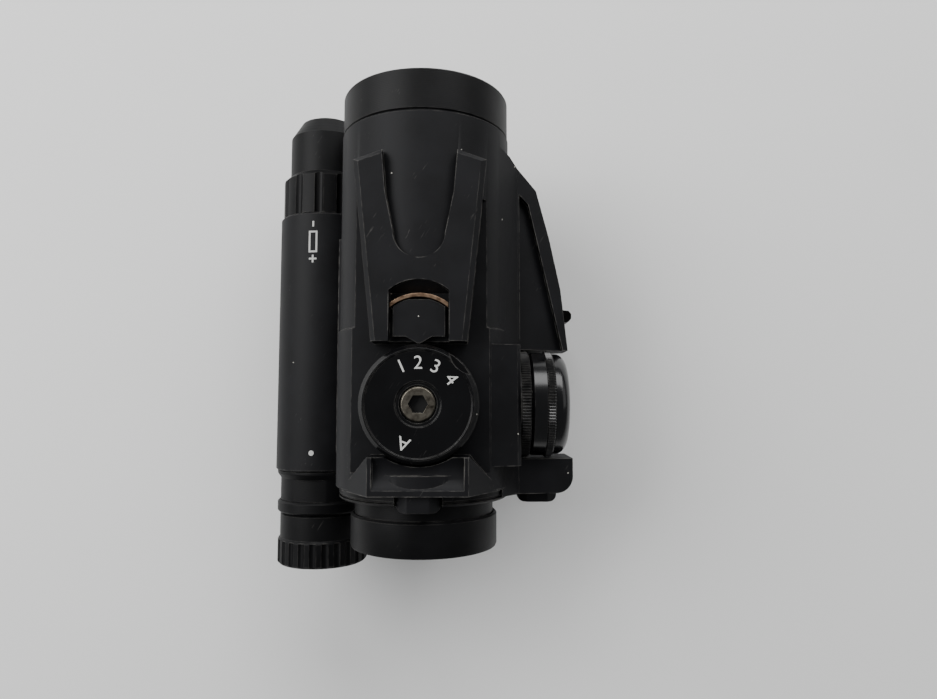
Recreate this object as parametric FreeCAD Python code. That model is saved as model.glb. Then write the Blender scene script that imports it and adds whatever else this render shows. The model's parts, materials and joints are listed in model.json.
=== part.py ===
import FreeCAD, Part
import math
import os

# Closed-tube red dot sight with a rail clamp, in millimetres.
# +Y looks forward through the tube, +Z is up, +X is to the shooter's right.
# Z = 0 is the rail's top plane. The optical axis runs along Y at X = 0, Z = AXIS.
# "h" in a name is a height above the optical axis.

# ---- Driving dimensions -------------------------------------------------------

# Fits
RUN = 0.06            # radial clearance of a part that turns or slides
SEAT = 0.03           # radial clearance of a part that is screwed or pushed home
GAP = 0.3             # air between parts that must not touch
CHAMFER = 0.5         # broken edge on turned parts

# Optical tube
TUBE_R = 22.4
REAR_STEP = 0.5       # the rear stretch of the tube is thicker by this
STEP_Y = 4.0
HOUSING_REAR_Y = -35.7
HOUSING_LENGTH = 92.3
DECK_DROP = 6.9       # the milled deck lies this far below the tube's crown
DECK_FRONT_FROM_END = 20.6
DECK_REAR_WALL = 4.7
DECK_WALL = 1.3       # metal left between the deck and the rear bore
REAR_BORE_LENGTH = 36.7
MIDDLE_WALL = 5.8
BAY_WALL = 3.0
BAY_LENGTH = 13.1
FOOT_HEIGHT = 2.6
FOOT_HALF_WIDTH = 12.0

# Front ring and window
FRONT_RING_LENGTH = 10.4
FRONT_SPIGOT_WALL = 2.1
FRONT_SPIGOT_LENGTH = 8.0
HOOD_WALL = 3.4       # from the tube's outside to the hood's thread
HOOD_THREAD_LENGTH = 7.4
WINDOW_THICK = 2.5

# Saddles on top of the tube
SADDLE_RISE = 0.8     # the saddles stand this far above the tube's crown
SADDLE_BEVEL = 1.2
SADDLE_REAR_HALF = 11.4
SADDLE_FRONT_HALF = 16.0
HORN_SETBACK = 10.1   # from the front of the housing to the horns' tips
HORN_INNER_HALF = 9.0
VALLEY_HALF = 6.2
VALLEY_BOTTOM_Y = 20.0
REAR_BLOCK_HALF = 11.7
REAR_BLOCK_FOOT_HALF = 19.4
REAR_BLOCK_FOOT_H = 12.0

# Turrets: the range dial on top and the windage turret on the right are one size
DIAL_R = 13.9
DIAL_Y = -14.5
DIAL_HEIGHT = 5.2
BASE_RING_HEIGHT = 2.9
BASE_RING_STEP = 0.35  # the ring under the dial is this much larger in radius
BARREL_R = 6.35
PUSHER_R = 2.9
SCREW_HEAD_R = 4.1
SCREW_R = 2.5
SCREW_HEX = 4.0
FLANK_OUT = 2.2       # the right flank stands this far outside the tube

# Guards beside the windage turret
GUARD_TOP_H = 5.0
GUARD_LOW_H = -12.0
GUARD_OUT = 13.7      # from the flank to the front guard's widest point
REAR_GUARD_OUT = 14.2
REAR_GUARD_CORNER = 4.3
POCKET_DEPTH = 2.0

# Rear cover and eyepiece
REAR_FLANGE_STEP = 0.9  # the flange is this much smaller in radius than the housing
REAR_FLANGE_LENGTH = 2.6
NECK_STEP = 4.4
NECK_LENGTH = 3.9
EYEPIECE_STEP = 3.4
EYEPIECE_LENGTH = 8.7
REAR_WINDOW_WALL = 2.5

# Battery tube, on the left and below the axis
BATTERY_WALL = 2.57     # around the end threads
BATTERY_ANGLE = 213.5  # direction from the optical axis, degrees from +X towards +Z
BATTERY_GAP = 0.7      # between the battery tube and the optical tube
BATTERY_REAR_Y = -33.4
BATTERY_LENGTH = 73.2
CELL_R = 7.2           # an AA cell
CELL_LENGTH = 49.0
CELL_NUB = 1.5
LINER_WALL = 2.9
CAP_RING_STEP = 0.65   # these four are smaller in radius than the battery tube
CAP_RING_LENGTH = 12.8
CAP_NOSE_STEP = 2.4
CAP_NOSE_LENGTH = 17.4
GRIP_NOTCHES = 13
SWITCH_NECK_STEP = 1.45
KNOB_STEP = 0.85
KNOB_RIBS = 24

# Rail clamp. The rail is 21.2 mm wide over its dovetail, with 45 degree sides.
BASE_HEIGHT = 12.0
BASE_HALF_LENGTH = 25.0
BASE_HALF_WIDTH = 13.5
RAIL_HALF = 10.6
RAIL_GROOVE_Z = -3.45   # middle of the dovetail's widest stretch
RAIL_LIP = 2.5          # how far each jaw hooks under the rail
JAW_DROP = 10.0
JAW_THICK = 5.0
JAW_TRAVEL = 2.4
LUG_WIDTH = 5.0
LUG_DEPTH = 2.8
LUG_Y = 12.0
LEVER_Y = -12.0
LEVER_SWING = 110.0
CAM_R = 7.0
LEVER_PIN_R = 3.0

# ---- Sizes worked out from them -----------------------------------------------

AXIS = BASE_HEIGHT + FOOT_HEIGHT + TUBE_R
REAR_R = TUBE_R + REAR_STEP
HOOD_THREAD_R = TUBE_R - HOOD_WALL
REAR_FLANGE_R = REAR_R - REAR_FLANGE_STEP
NECK_R = TUBE_R - NECK_STEP
EYEPIECE_R = TUBE_R - EYEPIECE_STEP
REAR_WINDOW_R = NECK_R - REAR_WINDOW_WALL
FRONT_Y = HOUSING_REAR_Y + HOUSING_LENGTH
DECK_H = TUBE_R - DECK_DROP
DECK_HALF = math.sqrt(TUBE_R ** 2 - DECK_H ** 2) - 0.6
DECK_FRONT_Y = FRONT_Y - DECK_FRONT_FROM_END
DECK_REAR_Y = HOUSING_REAR_Y + DECK_REAR_WALL
REAR_BORE_R = DECK_H - DECK_WALL
MIDDLE_BORE_R = TUBE_R - MIDDLE_WALL
BAY_R = TUBE_R - BAY_WALL
FRONT_BORE_R = TUBE_R - FRONT_SPIGOT_WALL
FRONT_BORE_Y = FRONT_Y - FRONT_SPIGOT_LENGTH - 1.5
BAY_REAR_Y = FRONT_BORE_Y - BAY_LENGTH
MIDDLE_REAR_Y = HOUSING_REAR_Y + REAR_BORE_LENGTH
SADDLE_H = TUBE_R + SADDLE_RISE
SADDLE_REAR_Y = DIAL_Y + DIAL_R + 0.8
HORN_Y = FRONT_Y - HORN_SETBACK
FLANK_X = TUBE_R + FLANK_OUT
REAR_GUARD_REAR_Y = HOUSING_REAR_Y - 1.8
REAR_GUARD_FRONT_Y = DIAL_Y - DIAL_R - 0.2

TUBE_FRONT_R = MIDDLE_BORE_R - 1.2     # inner tube, front stretch
TUBE_REAR_R = REAR_BORE_R - 1.4        # inner tube, rear stretch
INNER_WALL = 1.2
LENS_CELL_R = BAY_R - 2.8
PIVOT_Y = BAY_REAR_Y + 6.5
TURRET_HOLE_R = BARREL_R + RUN
PUSHER_START = TUBE_REAR_R + 0.05
BARREL_START = TUBE_REAR_R + 0.5
NUT_DISC_R = DIAL_R - 4.5
BASE_RING_R = DIAL_R + BASE_RING_STEP

LINER_R = CELL_R + GAP + LINER_WALL
BATTERY_BORE_R = LINER_R + SEAT
END_THREAD_R = BATTERY_BORE_R + 0.6
BATTERY_R = END_THREAD_R + BATTERY_WALL
BATTERY_OFFSET = REAR_R + BATTERY_R + BATTERY_GAP
BATTERY_X = BATTERY_OFFSET * math.cos(math.radians(BATTERY_ANGLE))
BATTERY_Z = AXIS + BATTERY_OFFSET * math.sin(math.radians(BATTERY_ANGLE))
BATTERY_FRONT_Y = BATTERY_REAR_Y + BATTERY_LENGTH
CAP_RING_R = BATTERY_R - CAP_RING_STEP
CAP_NOSE_R = BATTERY_R - CAP_NOSE_STEP
SWITCH_NECK_R = BATTERY_R - SWITCH_NECK_STEP
SWITCH_RING_R = CAP_RING_R
KNOB_R = BATTERY_R - KNOB_STEP
CAP_PLUG_LENGTH = 7.0
CELL_FRONT_Y = BATTERY_FRONT_Y - 1.7
CELL_REAR_Y = CELL_FRONT_Y - CELL_LENGTH
SWITCH_PLUG_LENGTH = 6.0

JAW_OUTER_X = BASE_HALF_WIDTH + GAP + JAW_THICK
LEVER_X = JAW_OUTER_X + CAM_R + 0.2
CAM_RATE = JAW_TRAVEL / math.radians(LEVER_SWING)

X = FreeCAD.Vector(1, 0, 0)
Y = FreeCAD.Vector(0, 1, 0)
Z = FreeCAD.Vector(0, 0, 1)

# ---- Building blocks ----------------------------------------------------------


def point(x, y, z):
    return FreeCAD.Vector(x, y, z)


def box(x0, x1, y0, y1, z0, z1):
    return Part.makeBox(x1 - x0, y1 - y0, z1 - z0, point(x0, y0, z0))


def rod_x(radius, x0, x1, y, z):
    return Part.makeCylinder(radius, x1 - x0, point(x0, y, z), X)


def rod_y(radius, y0, y1, x=0.0, z=AXIS):
    return Part.makeCylinder(radius, y1 - y0, point(x, y0, z), Y)


def rod_z(radius, z0, z1, x, y):
    return Part.makeCylinder(radius, z1 - z0, point(x, y, z0), Z)


def ring_y(outer, inner, y0, y1, x=0.0, z=AXIS):
    return rod_y(outer, y0, y1, x, z).cut(rod_y(inner, y0 - 1, y1 + 1, x, z))


def turned(profile, centre, axis):
    """Turn a closed outline of (radius, distance along the axis) about the axis."""
    across = X if abs(axis.x) < 0.5 else Z
    corners = [centre + axis * along + across * radius for radius, along in profile]
    face = Part.Face(Part.makePolygon(corners + corners[:1]))
    return Part.Solid(face.revolve(centre, axis, 360).Shells[0])


def turned_y(profile, x=0.0, z=AXIS):
    return turned(profile, point(x, 0, z), Y)


def bushing(outer, inner, low, high, chamfer=CHAMFER):
    """Outline of a plain ring with its two outer edges broken."""
    return [(inner, low), (outer - chamfer, low), (outer, low + chamfer),
            (outer, high - chamfer), (outer - chamfer, high), (inner, high)]


def prism_z(outline, z0, z1):
    corners = [point(x, y, z0) for x, y in outline]
    return Part.Face(Part.makePolygon(corners + corners[:1])).extrude(Z * (z1 - z0))


def prism_y(outline, y0, y1):
    corners = [point(x, y0, z) for x, z in outline]
    return Part.Face(Part.makePolygon(corners + corners[:1])).extrude(Y * (y1 - y0))


def prism_x(outline, x0, x1):
    corners = [point(x0, y, z) for y, z in outline]
    return Part.Face(Part.makePolygon(corners + corners[:1])).extrude(X * (x1 - x0))


def mirrored(outline):
    """Add the mirror image, across X = 0, of an outline that runs on the +X side."""
    return outline + [(-x, y) for x, y in reversed(outline)]


def around_y(shape, angle, x=0.0, z=AXIS):
    """A copy turned about an axis along Y, from +Z towards +X."""
    turned_copy = shape.copy()
    turned_copy.rotate(point(x, 0, z), Y, angle)
    return turned_copy


def lens(radius, rear_y, rear_sag, front_y, front_sag):
    """A round lens; each surface bulges outwards by its sag, or inwards if negative."""
    glass = rod_y(radius, rear_y - max(rear_sag, 0), front_y + max(front_sag, 0))
    for rim_y, sag, outward in ((rear_y, rear_sag, -1), (front_y, front_sag, 1)):
        ball_r = (radius ** 2 + sag ** 2) / (2 * abs(sag))
        pole = rim_y + outward * sag
        centre = pole - math.copysign(ball_r, outward * sag)
        ball = Part.makeSphere(ball_r, point(0, centre, AXIS), Y)
        glass = glass.common(ball) if sag > 0 else glass.cut(ball)
    return glass


def coil(radius, wire_half, pitch, height, base, axis):
    """A coil spring of square wire standing on base."""
    helix = Part.makeHelix(pitch, height, radius)
    low, high = radius - wire_half, radius + wire_half
    corners = [point(low, 0, -wire_half), point(high, 0, -wire_half), point(high, 0, wire_half),
               point(low, 0, wire_half)]
    spring = Part.Wire(helix).makePipeShell([Part.makePolygon(corners + corners[:1])], True, True)
    spring.Placement = FreeCAD.Placement(base, FreeCAD.Rotation(Z, axis))
    return spring

# ---- Housing ------------------------------------------------------------------


def front_saddle():
    """The raised saddle ahead of the dial, with two horns beside a rounded valley."""
    outline = mirrored([(SADDLE_REAR_HALF, SADDLE_REAR_Y), (SADDLE_FRONT_HALF, HORN_Y - 2.5),
                        (HORN_INNER_HALF, HORN_Y)])
    saddle = prism_z(outline, AXIS + DECK_H - 6, AXIS + SADDLE_H)
    rims = [edge for edge in saddle.Edges
            if all(abs(v.Z - AXIS - SADDLE_H) < 0.01 for v in edge.Vertexes)
            and max(v.Y for v in edge.Vertexes) > SADDLE_REAR_Y + 1]
    saddle = saddle.makeChamfer(SADDLE_BEVEL, rims)
    round_y = VALLEY_BOTTOM_Y + VALLEY_HALF
    sides = mirrored([(VALLEY_HALF, round_y), (VALLEY_HALF + 2, HORN_Y - 10.5),
                      (HORN_INNER_HALF + 0.3, HORN_Y + 3)])
    valley = prism_z(sides, AXIS, AXIS + SADDLE_H + 1)
    valley = valley.fuse(rod_z(VALLEY_HALF, AXIS, AXIS + SADDLE_H + 1, 0, round_y))
    return saddle.cut(valley.cut(rod_y(TUBE_R, SADDLE_REAR_Y, FRONT_Y)))


POCKET_HALF = 7.1
POCKET_LENGTH = 14.6
POCKET_R = 11.0
POCKET_FLOOR_H = SADDLE_H - 3.2
SPRING_R = 11.0
SPRING_THICK = 0.9


def index_pocket():
    """The round-fronted pocket ahead of the dial: a flat floor, then a slope up."""
    front = SADDLE_REAR_Y + POCKET_LENGTH
    plan = box(-POCKET_HALF, POCKET_HALF, SADDLE_REAR_Y - 1, front, AXIS, AXIS + SADDLE_H + 1)
    plan = plan.common(rod_z(POCKET_R, AXIS, AXIS + SADDLE_H + 1, 0, front - POCKET_R).fuse(
        box(-POCKET_HALF, POCKET_HALF, SADDLE_REAR_Y - 1, front - POCKET_R, AXIS, AXIS + SADDLE_H + 1)))
    floor = POCKET_FLOOR_H + AXIS
    depth_line = [(SADDLE_REAR_Y - 2, floor), (front - 3.0, floor), (front + 0.5, AXIS + SADDLE_H - 0.2),
                  (front + 0.5, AXIS + SADDLE_H + 1), (SADDLE_REAR_Y - 2, AXIS + SADDLE_H + 1)]
    return plan.common(prism_x(depth_line, -POCKET_HALF - 1, POCKET_HALF + 1))


BUTTON_HALF = 5.25
BUTTON_THICK = 4.0
BUTTON_LENGTH = 4.0
FLANK_BUTTON_LENGTH = 2.7
BUTTON_TRAVEL = 1.5
BUTTON_TOP_H = SADDLE_H - 1.0
STEM_R = 1.4
STEM_LENGTH = 3.0
STEM_RISE = 1.6        # from the head's underside to the stem's axis


def rear_saddle():
    """The block behind the dial: sloping sides, swept corners and a shallow round trough."""
    top = AXIS + SADDLE_H
    low = AXIS + REAR_BLOCK_FOOT_H
    front = DECK_REAR_Y + 4.3
    section = mirrored([(REAR_BLOCK_FOOT_HALF, low), (REAR_BLOCK_HALF, top)])
    plan = mirrored([(REAR_BLOCK_FOOT_HALF + 0.5, HOUSING_REAR_Y), (REAR_BLOCK_HALF + 0.2, front)])
    block = prism_y(section, HOUSING_REAR_Y, front).common(prism_z(plan, low - 1, top + 1))
    trough_half = REAR_BLOCK_HALF - 1.0
    trough = rod_x(5.6, -trough_half, trough_half, DECK_REAR_Y + 0.7, top + 3.9)
    return block.cut(trough)


def flank():
    """The fairing on the right side, with a sloping facet above and below."""
    outline = [(8, AXIS + DECK_H), (DECK_HALF, AXIS + DECK_H), (FLANK_X, AXIS + GUARD_TOP_H),
               (FLANK_X, AXIS + GUARD_LOW_H), (FLANK_X - 8, AXIS - TUBE_R + 3), (8, AXIS - TUBE_R + 2)]
    return prism_y(outline, REAR_GUARD_REAR_Y, HORN_Y - 5.5)


def turret_block():
    """The block that the windage turret sits on, which closes the fairing's facets around its hole."""
    high = AXIS + DIAL_R - 0.3
    low = AXIS - DIAL_R + 0.3
    outline = [(8, AXIS + DECK_H), (DECK_HALF, AXIS + DECK_H), (FLANK_X - 0.8, high), (FLANK_X, high - 0.8),
               (FLANK_X, low + 2), (FLANK_X - 2, low), (8, low)]
    return prism_y(outline, REAR_GUARD_FRONT_Y - 1, SADDLE_REAR_Y)


def front_guard():
    """The wing ahead of the windage turret: a curved plan, a sloping top with a pocket."""
    side = FLANK_X
    rear = SADDLE_REAR_Y - 0.5
    tip = side + GUARD_OUT
    plan = [(8, rear), (tip, rear), (side + 11.8, HORN_Y - 30.4), (side + 8.7, HORN_Y - 16.6),
            (side + 5.2, HORN_Y - 4.1), (side - 2.1, HORN_Y + 3.7), (side - 7.0, HORN_Y + 6.5),
            (8, HORN_Y + 6.5)]
    top = AXIS + GUARD_TOP_H
    low = AXIS + GUARD_LOW_H
    section = [(8, AXIS + DECK_H), (DECK_HALF, AXIS + DECK_H), (side, top), (tip + 1, top - 5.5),
               (tip + 1, low + 2), (tip - 3, low), (8, low - 5)]
    wing = prism_z(plan, low - 6, AXIS + SADDLE_H).common(prism_y(section, rear - 1, FRONT_Y))
    pocket_plan = [(side + 0.5, rear - 1), (tip - 1.2, rear - 1), (side + 3.0, HORN_Y - 8.0),
                   (side + 0.5, HORN_Y - 5.6)]
    pocket_section = [(side, top - POCKET_DEPTH), (tip + 1, top - 5.5 - POCKET_DEPTH), (tip + 1, top + 5),
                      (side, top + 5)]
    pocket = prism_z(pocket_plan, low, top + 6).common(prism_y(pocket_section, rear - 2, FRONT_Y))
    return wing.cut(pocket)


def rear_guard():
    """The block behind the windage turret, with one round corner."""
    outer = FLANK_X + REAR_GUARD_OUT
    top = AXIS + GUARD_TOP_H
    section = [(8, AXIS + DECK_H - 3), (FLANK_X - 7, AXIS + DECK_H - 3), (FLANK_X, top), (outer, top - 2),
               (outer, AXIS + GUARD_LOW_H), (8, AXIS + GUARD_LOW_H)]
    block = prism_y(section, REAR_GUARD_REAR_Y, REAR_GUARD_FRONT_Y)
    corner = rod_z(REAR_GUARD_CORNER, AXIS - 30, AXIS + 30, outer - REAR_GUARD_CORNER,
                   REAR_GUARD_REAR_Y + REAR_GUARD_CORNER)
    square = box(outer - REAR_GUARD_CORNER, outer + 1, REAR_GUARD_REAR_Y - 1,
                 REAR_GUARD_REAR_Y + REAR_GUARD_CORNER, AXIS - 30, AXIS + 30)
    return block.cut(square.cut(corner))


def toward_battery(shape):
    """Turn a shape that stands along +Z at the optical axis towards the battery tube."""
    return around_y(shape, 90 - BATTERY_ANGLE)


WEB_HALF = 7.0
WEB_REAR_Y = -28.0
WEB_LENGTH = 60.0
CRADLE_SCREW_SPOTS = (WEB_REAR_Y + 6.0, WEB_REAR_Y + WEB_LENGTH - 6.0)
FEED_PIN_Y = WEB_REAR_Y + 14.0


def battery_web():
    """The cradle that carries the battery tube."""
    web = box(-WEB_HALF, WEB_HALF, WEB_REAR_Y, WEB_REAR_Y + WEB_LENGTH, AXIS + TUBE_R - 4,
              AXIS + BATTERY_OFFSET - 8)
    web = toward_battery(web)
    return web.cut(rod_y(BATTERY_R + SEAT, WEB_REAR_Y - 1, WEB_REAR_Y + WEB_LENGTH + 1, BATTERY_X,
                         BATTERY_Z))


def cradle_screw(y, spare):
    """One screw from the bore out to the battery tube's wall; spare widens it into its hole."""
    bore = MIDDLE_BORE_R if y > MIDDLE_REAR_Y else REAR_BORE_R
    head = rod_z(2.7 + spare, AXIS + bore - 1.0 * (spare > 0) + 0.3, AXIS + bore + 2.6, 0, y)
    shank = rod_z(1.5 + spare, AXIS + bore + 2.5, AXIS + BATTERY_OFFSET - BATTERY_BORE_R - 0.5 + spare, 0, y)
    return toward_battery(head.fuse(shank))


def feed_pin_shape(spare):
    return toward_battery(rod_z(1.0 + spare, AXIS + REAR_BORE_R - 0.1 - spare,
                                AXIS + BATTERY_OFFSET - BATTERY_BORE_R + 0.3 + spare, 0, FEED_PIN_Y))


MOUNT_SCREW_X = 5.5
MOUNT_SCREW_SPOTS = (-19.0, 20.5)
MOUNT_SCREW_R = 2.0
MOUNT_HEAD_R = 3.5


def housing():
    """The one-piece body: tube, saddles, flank, guards, foot and battery cradle."""
    tube = turned_y([(0, HOUSING_REAR_Y), (REAR_R - CHAMFER, HOUSING_REAR_Y),
                     (REAR_R, HOUSING_REAR_Y + CHAMFER),
                     (REAR_R, STEP_Y), (TUBE_R, STEP_Y + 0.3), (TUBE_R, FRONT_Y - CHAMFER),
                     (TUBE_R - CHAMFER, FRONT_Y), (0, FRONT_Y)])
    deck = box(-REAR_R - 1, REAR_R + 1, DECK_REAR_Y, DECK_FRONT_Y, AXIS + DECK_H, AXIS + REAR_R + 1)
    foot = box(-FOOT_HALF_WIDTH, FOOT_HALF_WIDTH, -BASE_HALF_LENGTH + 1, BASE_HALF_LENGTH + 1, BASE_HEIGHT,
               AXIS - REAR_BORE_R - 2)
    body = tube.cut(deck)
    body = body.fuse([front_saddle(), rear_saddle(), flank(), turret_block(), front_guard(), rear_guard(),
                      foot, battery_web()])
    cuts = [rod_y(REAR_BORE_R, HOUSING_REAR_Y - 1, MIDDLE_REAR_Y + 1),
            rod_y(MIDDLE_BORE_R, MIDDLE_REAR_Y, BAY_REAR_Y + 1),
            rod_y(BAY_R, BAY_REAR_Y, FRONT_BORE_Y + 1),
            rod_y(FRONT_BORE_R, FRONT_BORE_Y, FRONT_Y + 1),
            rod_y(REAR_SPIGOT_R + SEAT, HOUSING_REAR_Y - 1, HOUSING_REAR_Y + REAR_SPIGOT_LENGTH + 0.2),
            rod_y(REAR_FLANGE_R + GAP + 0.2, HOUSING_REAR_Y - 12, HOUSING_REAR_Y),
            rod_z(BASE_RING_R + GAP, AXIS + DECK_H, AXIS + SADDLE_H + 2, 0, DIAL_Y),
            rod_z(TURRET_HOLE_R, AXIS + REAR_BORE_R - 3, AXIS + DECK_H + 1, 0, DIAL_Y),
            rod_x(TURRET_HOLE_R, REAR_BORE_R - 3, FLANK_X + 1, DIAL_Y, AXIS),
            index_pocket()]
    cuts += [yaw_pin(side, 0.0) for side in (1, -1)]
    cuts += [button_space(), windage_place(button_space())]
    cuts += [cradle_screw(y, SEAT) for y in CRADLE_SCREW_SPOTS]
    cuts += [feed_pin_shape(SEAT)]
    cuts += [rod_z(MOUNT_SCREW_R, BASE_HEIGHT - 1, BASE_HEIGHT + 7.5, x, y)
             for x in (-MOUNT_SCREW_X, MOUNT_SCREW_X) for y in MOUNT_SCREW_SPOTS]
    return body.cut(cuts)

# ---- Optics -------------------------------------------------------------------


REAR_SPIGOT_R = REAR_BORE_R + 3.2
REAR_SPIGOT_LENGTH = 4.0
FRONT_SPIGOT_R = FRONT_BORE_R - SEAT
FRONT_WINDOW_R = HOOD_THREAD_R - 1.0
FRONT_FACE_Y = FRONT_Y + FRONT_RING_LENGTH
FRONT_LIP_Y = FRONT_FACE_Y - HOOD_THREAD_LENGTH
WINDOW_FRONT_Y = FRONT_LIP_Y - 1.5


def front_ring():
    groove = FRONT_Y - 1.7
    outline = [(HOOD_THREAD_R, FRONT_FACE_Y), (TUBE_R - 0.2 - CHAMFER, FRONT_FACE_Y),
               (TUBE_R - 0.2, FRONT_FACE_Y - CHAMFER),
               (TUBE_R - 0.2, FRONT_Y + CHAMFER), (TUBE_R - 0.2 - CHAMFER, FRONT_Y),
               (FRONT_SPIGOT_R, FRONT_Y),
               (FRONT_SPIGOT_R, groove + 1.0), (FRONT_SPIGOT_R - 0.65, groove + 1.0),
               (FRONT_SPIGOT_R - 0.65, groove),
               (FRONT_SPIGOT_R, groove), (FRONT_SPIGOT_R, FRONT_Y - FRONT_SPIGOT_LENGTH),
               (FRONT_WINDOW_R, FRONT_Y - FRONT_SPIGOT_LENGTH), (FRONT_WINDOW_R, WINDOW_FRONT_Y),
               (FRONT_WINDOW_R - 1.2, WINDOW_FRONT_Y), (FRONT_WINDOW_R - 1.2, FRONT_LIP_Y),
               (HOOD_THREAD_R, FRONT_LIP_Y)]
    return turned_y(outline)


def front_o_ring():
    groove = FRONT_Y - 1.7
    return ring_y(FRONT_SPIGOT_R, FRONT_SPIGOT_R - 0.6, groove + 0.1, groove + 0.9)


def front_window():
    return rod_y(FRONT_WINDOW_R - SEAT, WINDOW_FRONT_Y - WINDOW_THICK, WINDOW_FRONT_Y)


def front_window_retainer():
    rear = WINDOW_FRONT_Y - WINDOW_THICK
    return ring_y(FRONT_WINDOW_R - SEAT, FRONT_WINDOW_R - 1.6, rear - 2.2, rear)


CELL_REAR_LIP_Y = PIVOT_Y - 4.5
DOUBLET_REAR_Y = CELL_REAR_LIP_Y + 2.0
FRONT_SAG = 1.4
MIRROR_SAG = 1.2
DOUBLET_JOIN_Y = DOUBLET_REAR_Y + 2.2
DOUBLET_FRONT_Y = DOUBLET_JOIN_Y + 3.6
CELL_FRONT_END_Y = DOUBLET_FRONT_Y + 1.6
INNER_REAR_Y = HOUSING_REAR_Y + 9.7
TUBE_NECK_Y = MIDDLE_REAR_Y + 2.0
LENS_SEAT_R = TUBE_FRONT_R


def inner_tube():
    """The tube inside the tube: the adjusters tilt it, and it carries the doublet and the emitter."""
    front_bore = TUBE_FRONT_R - INNER_WALL
    rear_bore = TUBE_REAR_R - INNER_WALL
    outline = [(rear_bore, INNER_REAR_Y), (TUBE_REAR_R, INNER_REAR_Y), (TUBE_REAR_R, TUBE_NECK_Y),
               (TUBE_FRONT_R, TUBE_NECK_Y + 2.4), (TUBE_FRONT_R, CELL_REAR_LIP_Y - 1.4),
               (LENS_CELL_R, CELL_REAR_LIP_Y), (LENS_CELL_R, CELL_FRONT_END_Y),
               (LENS_SEAT_R, CELL_FRONT_END_Y),
               (LENS_SEAT_R, DOUBLET_REAR_Y), (front_bore, DOUBLET_REAR_Y), (front_bore, TUBE_NECK_Y + 2.4),
               (rear_bore, TUBE_NECK_Y)]
    tube = turned_y(outline)
    return tube.cut([pitch_pin(side, RUN) for side in (1, -1)])


def objective_front():
    """The doublet's front element; both its surfaces bulge forwards."""
    return lens(LENS_SEAT_R - SEAT, DOUBLET_JOIN_Y, -MIRROR_SAG, DOUBLET_FRONT_Y - FRONT_SAG, FRONT_SAG)


def objective_mirror():
    """The doublet's rear element; its cemented surface reflects the red light."""
    return lens(LENS_SEAT_R - SEAT, DOUBLET_REAR_Y, -0.9, DOUBLET_JOIN_Y, MIRROR_SAG)


def objective_retainer():
    """The ring that holds the doublet; its inner edge rests on the front element's bulge."""
    outer = LENS_SEAT_R - SEAT
    inner = LENS_SEAT_R - 1.2
    ball_r = (outer ** 2 + FRONT_SAG ** 2) / (2 * FRONT_SAG)
    touch_y = DOUBLET_FRONT_Y - ball_r + math.sqrt(ball_r ** 2 - inner ** 2)
    return ring_y(outer, inner, touch_y + 0.005, CELL_FRONT_END_Y)


GIMBAL_HALF_LENGTH = 2.2


def gimbal_ring():
    ring = ring_y(BAY_R - 0.4, LENS_CELL_R + 0.35, PIVOT_Y - GIMBAL_HALF_LENGTH,
                  PIVOT_Y + GIMBAL_HALF_LENGTH)
    holes = [yaw_pin(side, RUN) for side in (1, -1)]
    holes += [pitch_pin(side, 0.0) for side in (1, -1)]
    return ring.cut(holes)


def yaw_pin(side, spare):
    """A pin from the housing into the gimbal ring, above (side 1) or below (side -1)."""
    inner = BAY_R - 1.6 - spare
    outer = TUBE_R - 0.9
    low = AXIS + inner if side > 0 else AXIS - outer
    return rod_z(0.7 + spare, low, low + outer - inner, 0, PIVOT_Y)


def pitch_pin(side, spare):
    """A pin from the gimbal ring into the inner tube, right (side 1) or left (side -1)."""
    inner = LENS_CELL_R - 0.7 - spare
    outer = BAY_R - 0.5
    low = inner if side > 0 else -outer
    return rod_x(0.6 + spare, low, low + outer - inner, PIVOT_Y, AXIS)


def gimbal_yaw_pins():
    return Part.makeCompound([yaw_pin(side, 0.0) for side in (1, -1)])


def gimbal_pitch_pins():
    return Part.makeCompound([pitch_pin(side, 0.0) for side in (1, -1)])


LED_Y = INNER_REAR_Y + 5.0


def emitter_holder():
    """The block that holds the light source at the bottom of the inner tube's rear end."""
    floor = TUBE_REAR_R - INNER_WALL
    block = box(-2.6, 2.6, INNER_REAR_Y + 0.5, LED_Y, AXIS - floor - 1, AXIS - floor + 4.0)
    return block.common(rod_y(floor - 0.01, INNER_REAR_Y, LED_Y + 1))


def emitter_board():
    floor = TUBE_REAR_R - INNER_WALL
    return box(-2.0, 2.0, LED_Y, LED_Y + 0.8, AXIS - floor + 0.6, AXIS - floor + 3.8)


def emitter():
    floor = TUBE_REAR_R - INNER_WALL
    return rod_y(0.6, LED_Y + 0.8, LED_Y + 1.5, 0, AXIS - floor + 2.6)


def return_spring():
    """A leaf spring between housing and inner tube, opposite both adjusters."""
    outer = REAR_BORE_R - 0.35
    inner = TUBE_REAR_R + 0.45
    reach = 9.0
    outline = [(DIAL_Y - reach, AXIS + outer), (DIAL_Y - reach * 0.3, AXIS + inner),
               (DIAL_Y + reach * 0.3, AXIS + inner),
               (DIAL_Y + reach, AXIS + outer), (DIAL_Y + reach * 0.4, AXIS + inner + 0.3),
               (DIAL_Y - reach * 0.4, AXIS + inner + 0.3)]
    return around_y(prism_x(outline, -2.4, 2.4), -135)


NECK_END_Y = HOUSING_REAR_Y - REAR_FLANGE_LENGTH - NECK_LENGTH
EYEPIECE_END_Y = NECK_END_Y - EYEPIECE_LENGTH
EYEPIECE_THREAD_R = NECK_R - 0.8
REAR_WINDOW_FRONT_Y = HOUSING_REAR_Y - REAR_FLANGE_LENGTH - 2.2
REAR_APERTURE_R = REAR_BORE_R - 1.7
THREAD_END_Y = EYEPIECE_END_Y + 3.0


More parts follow.
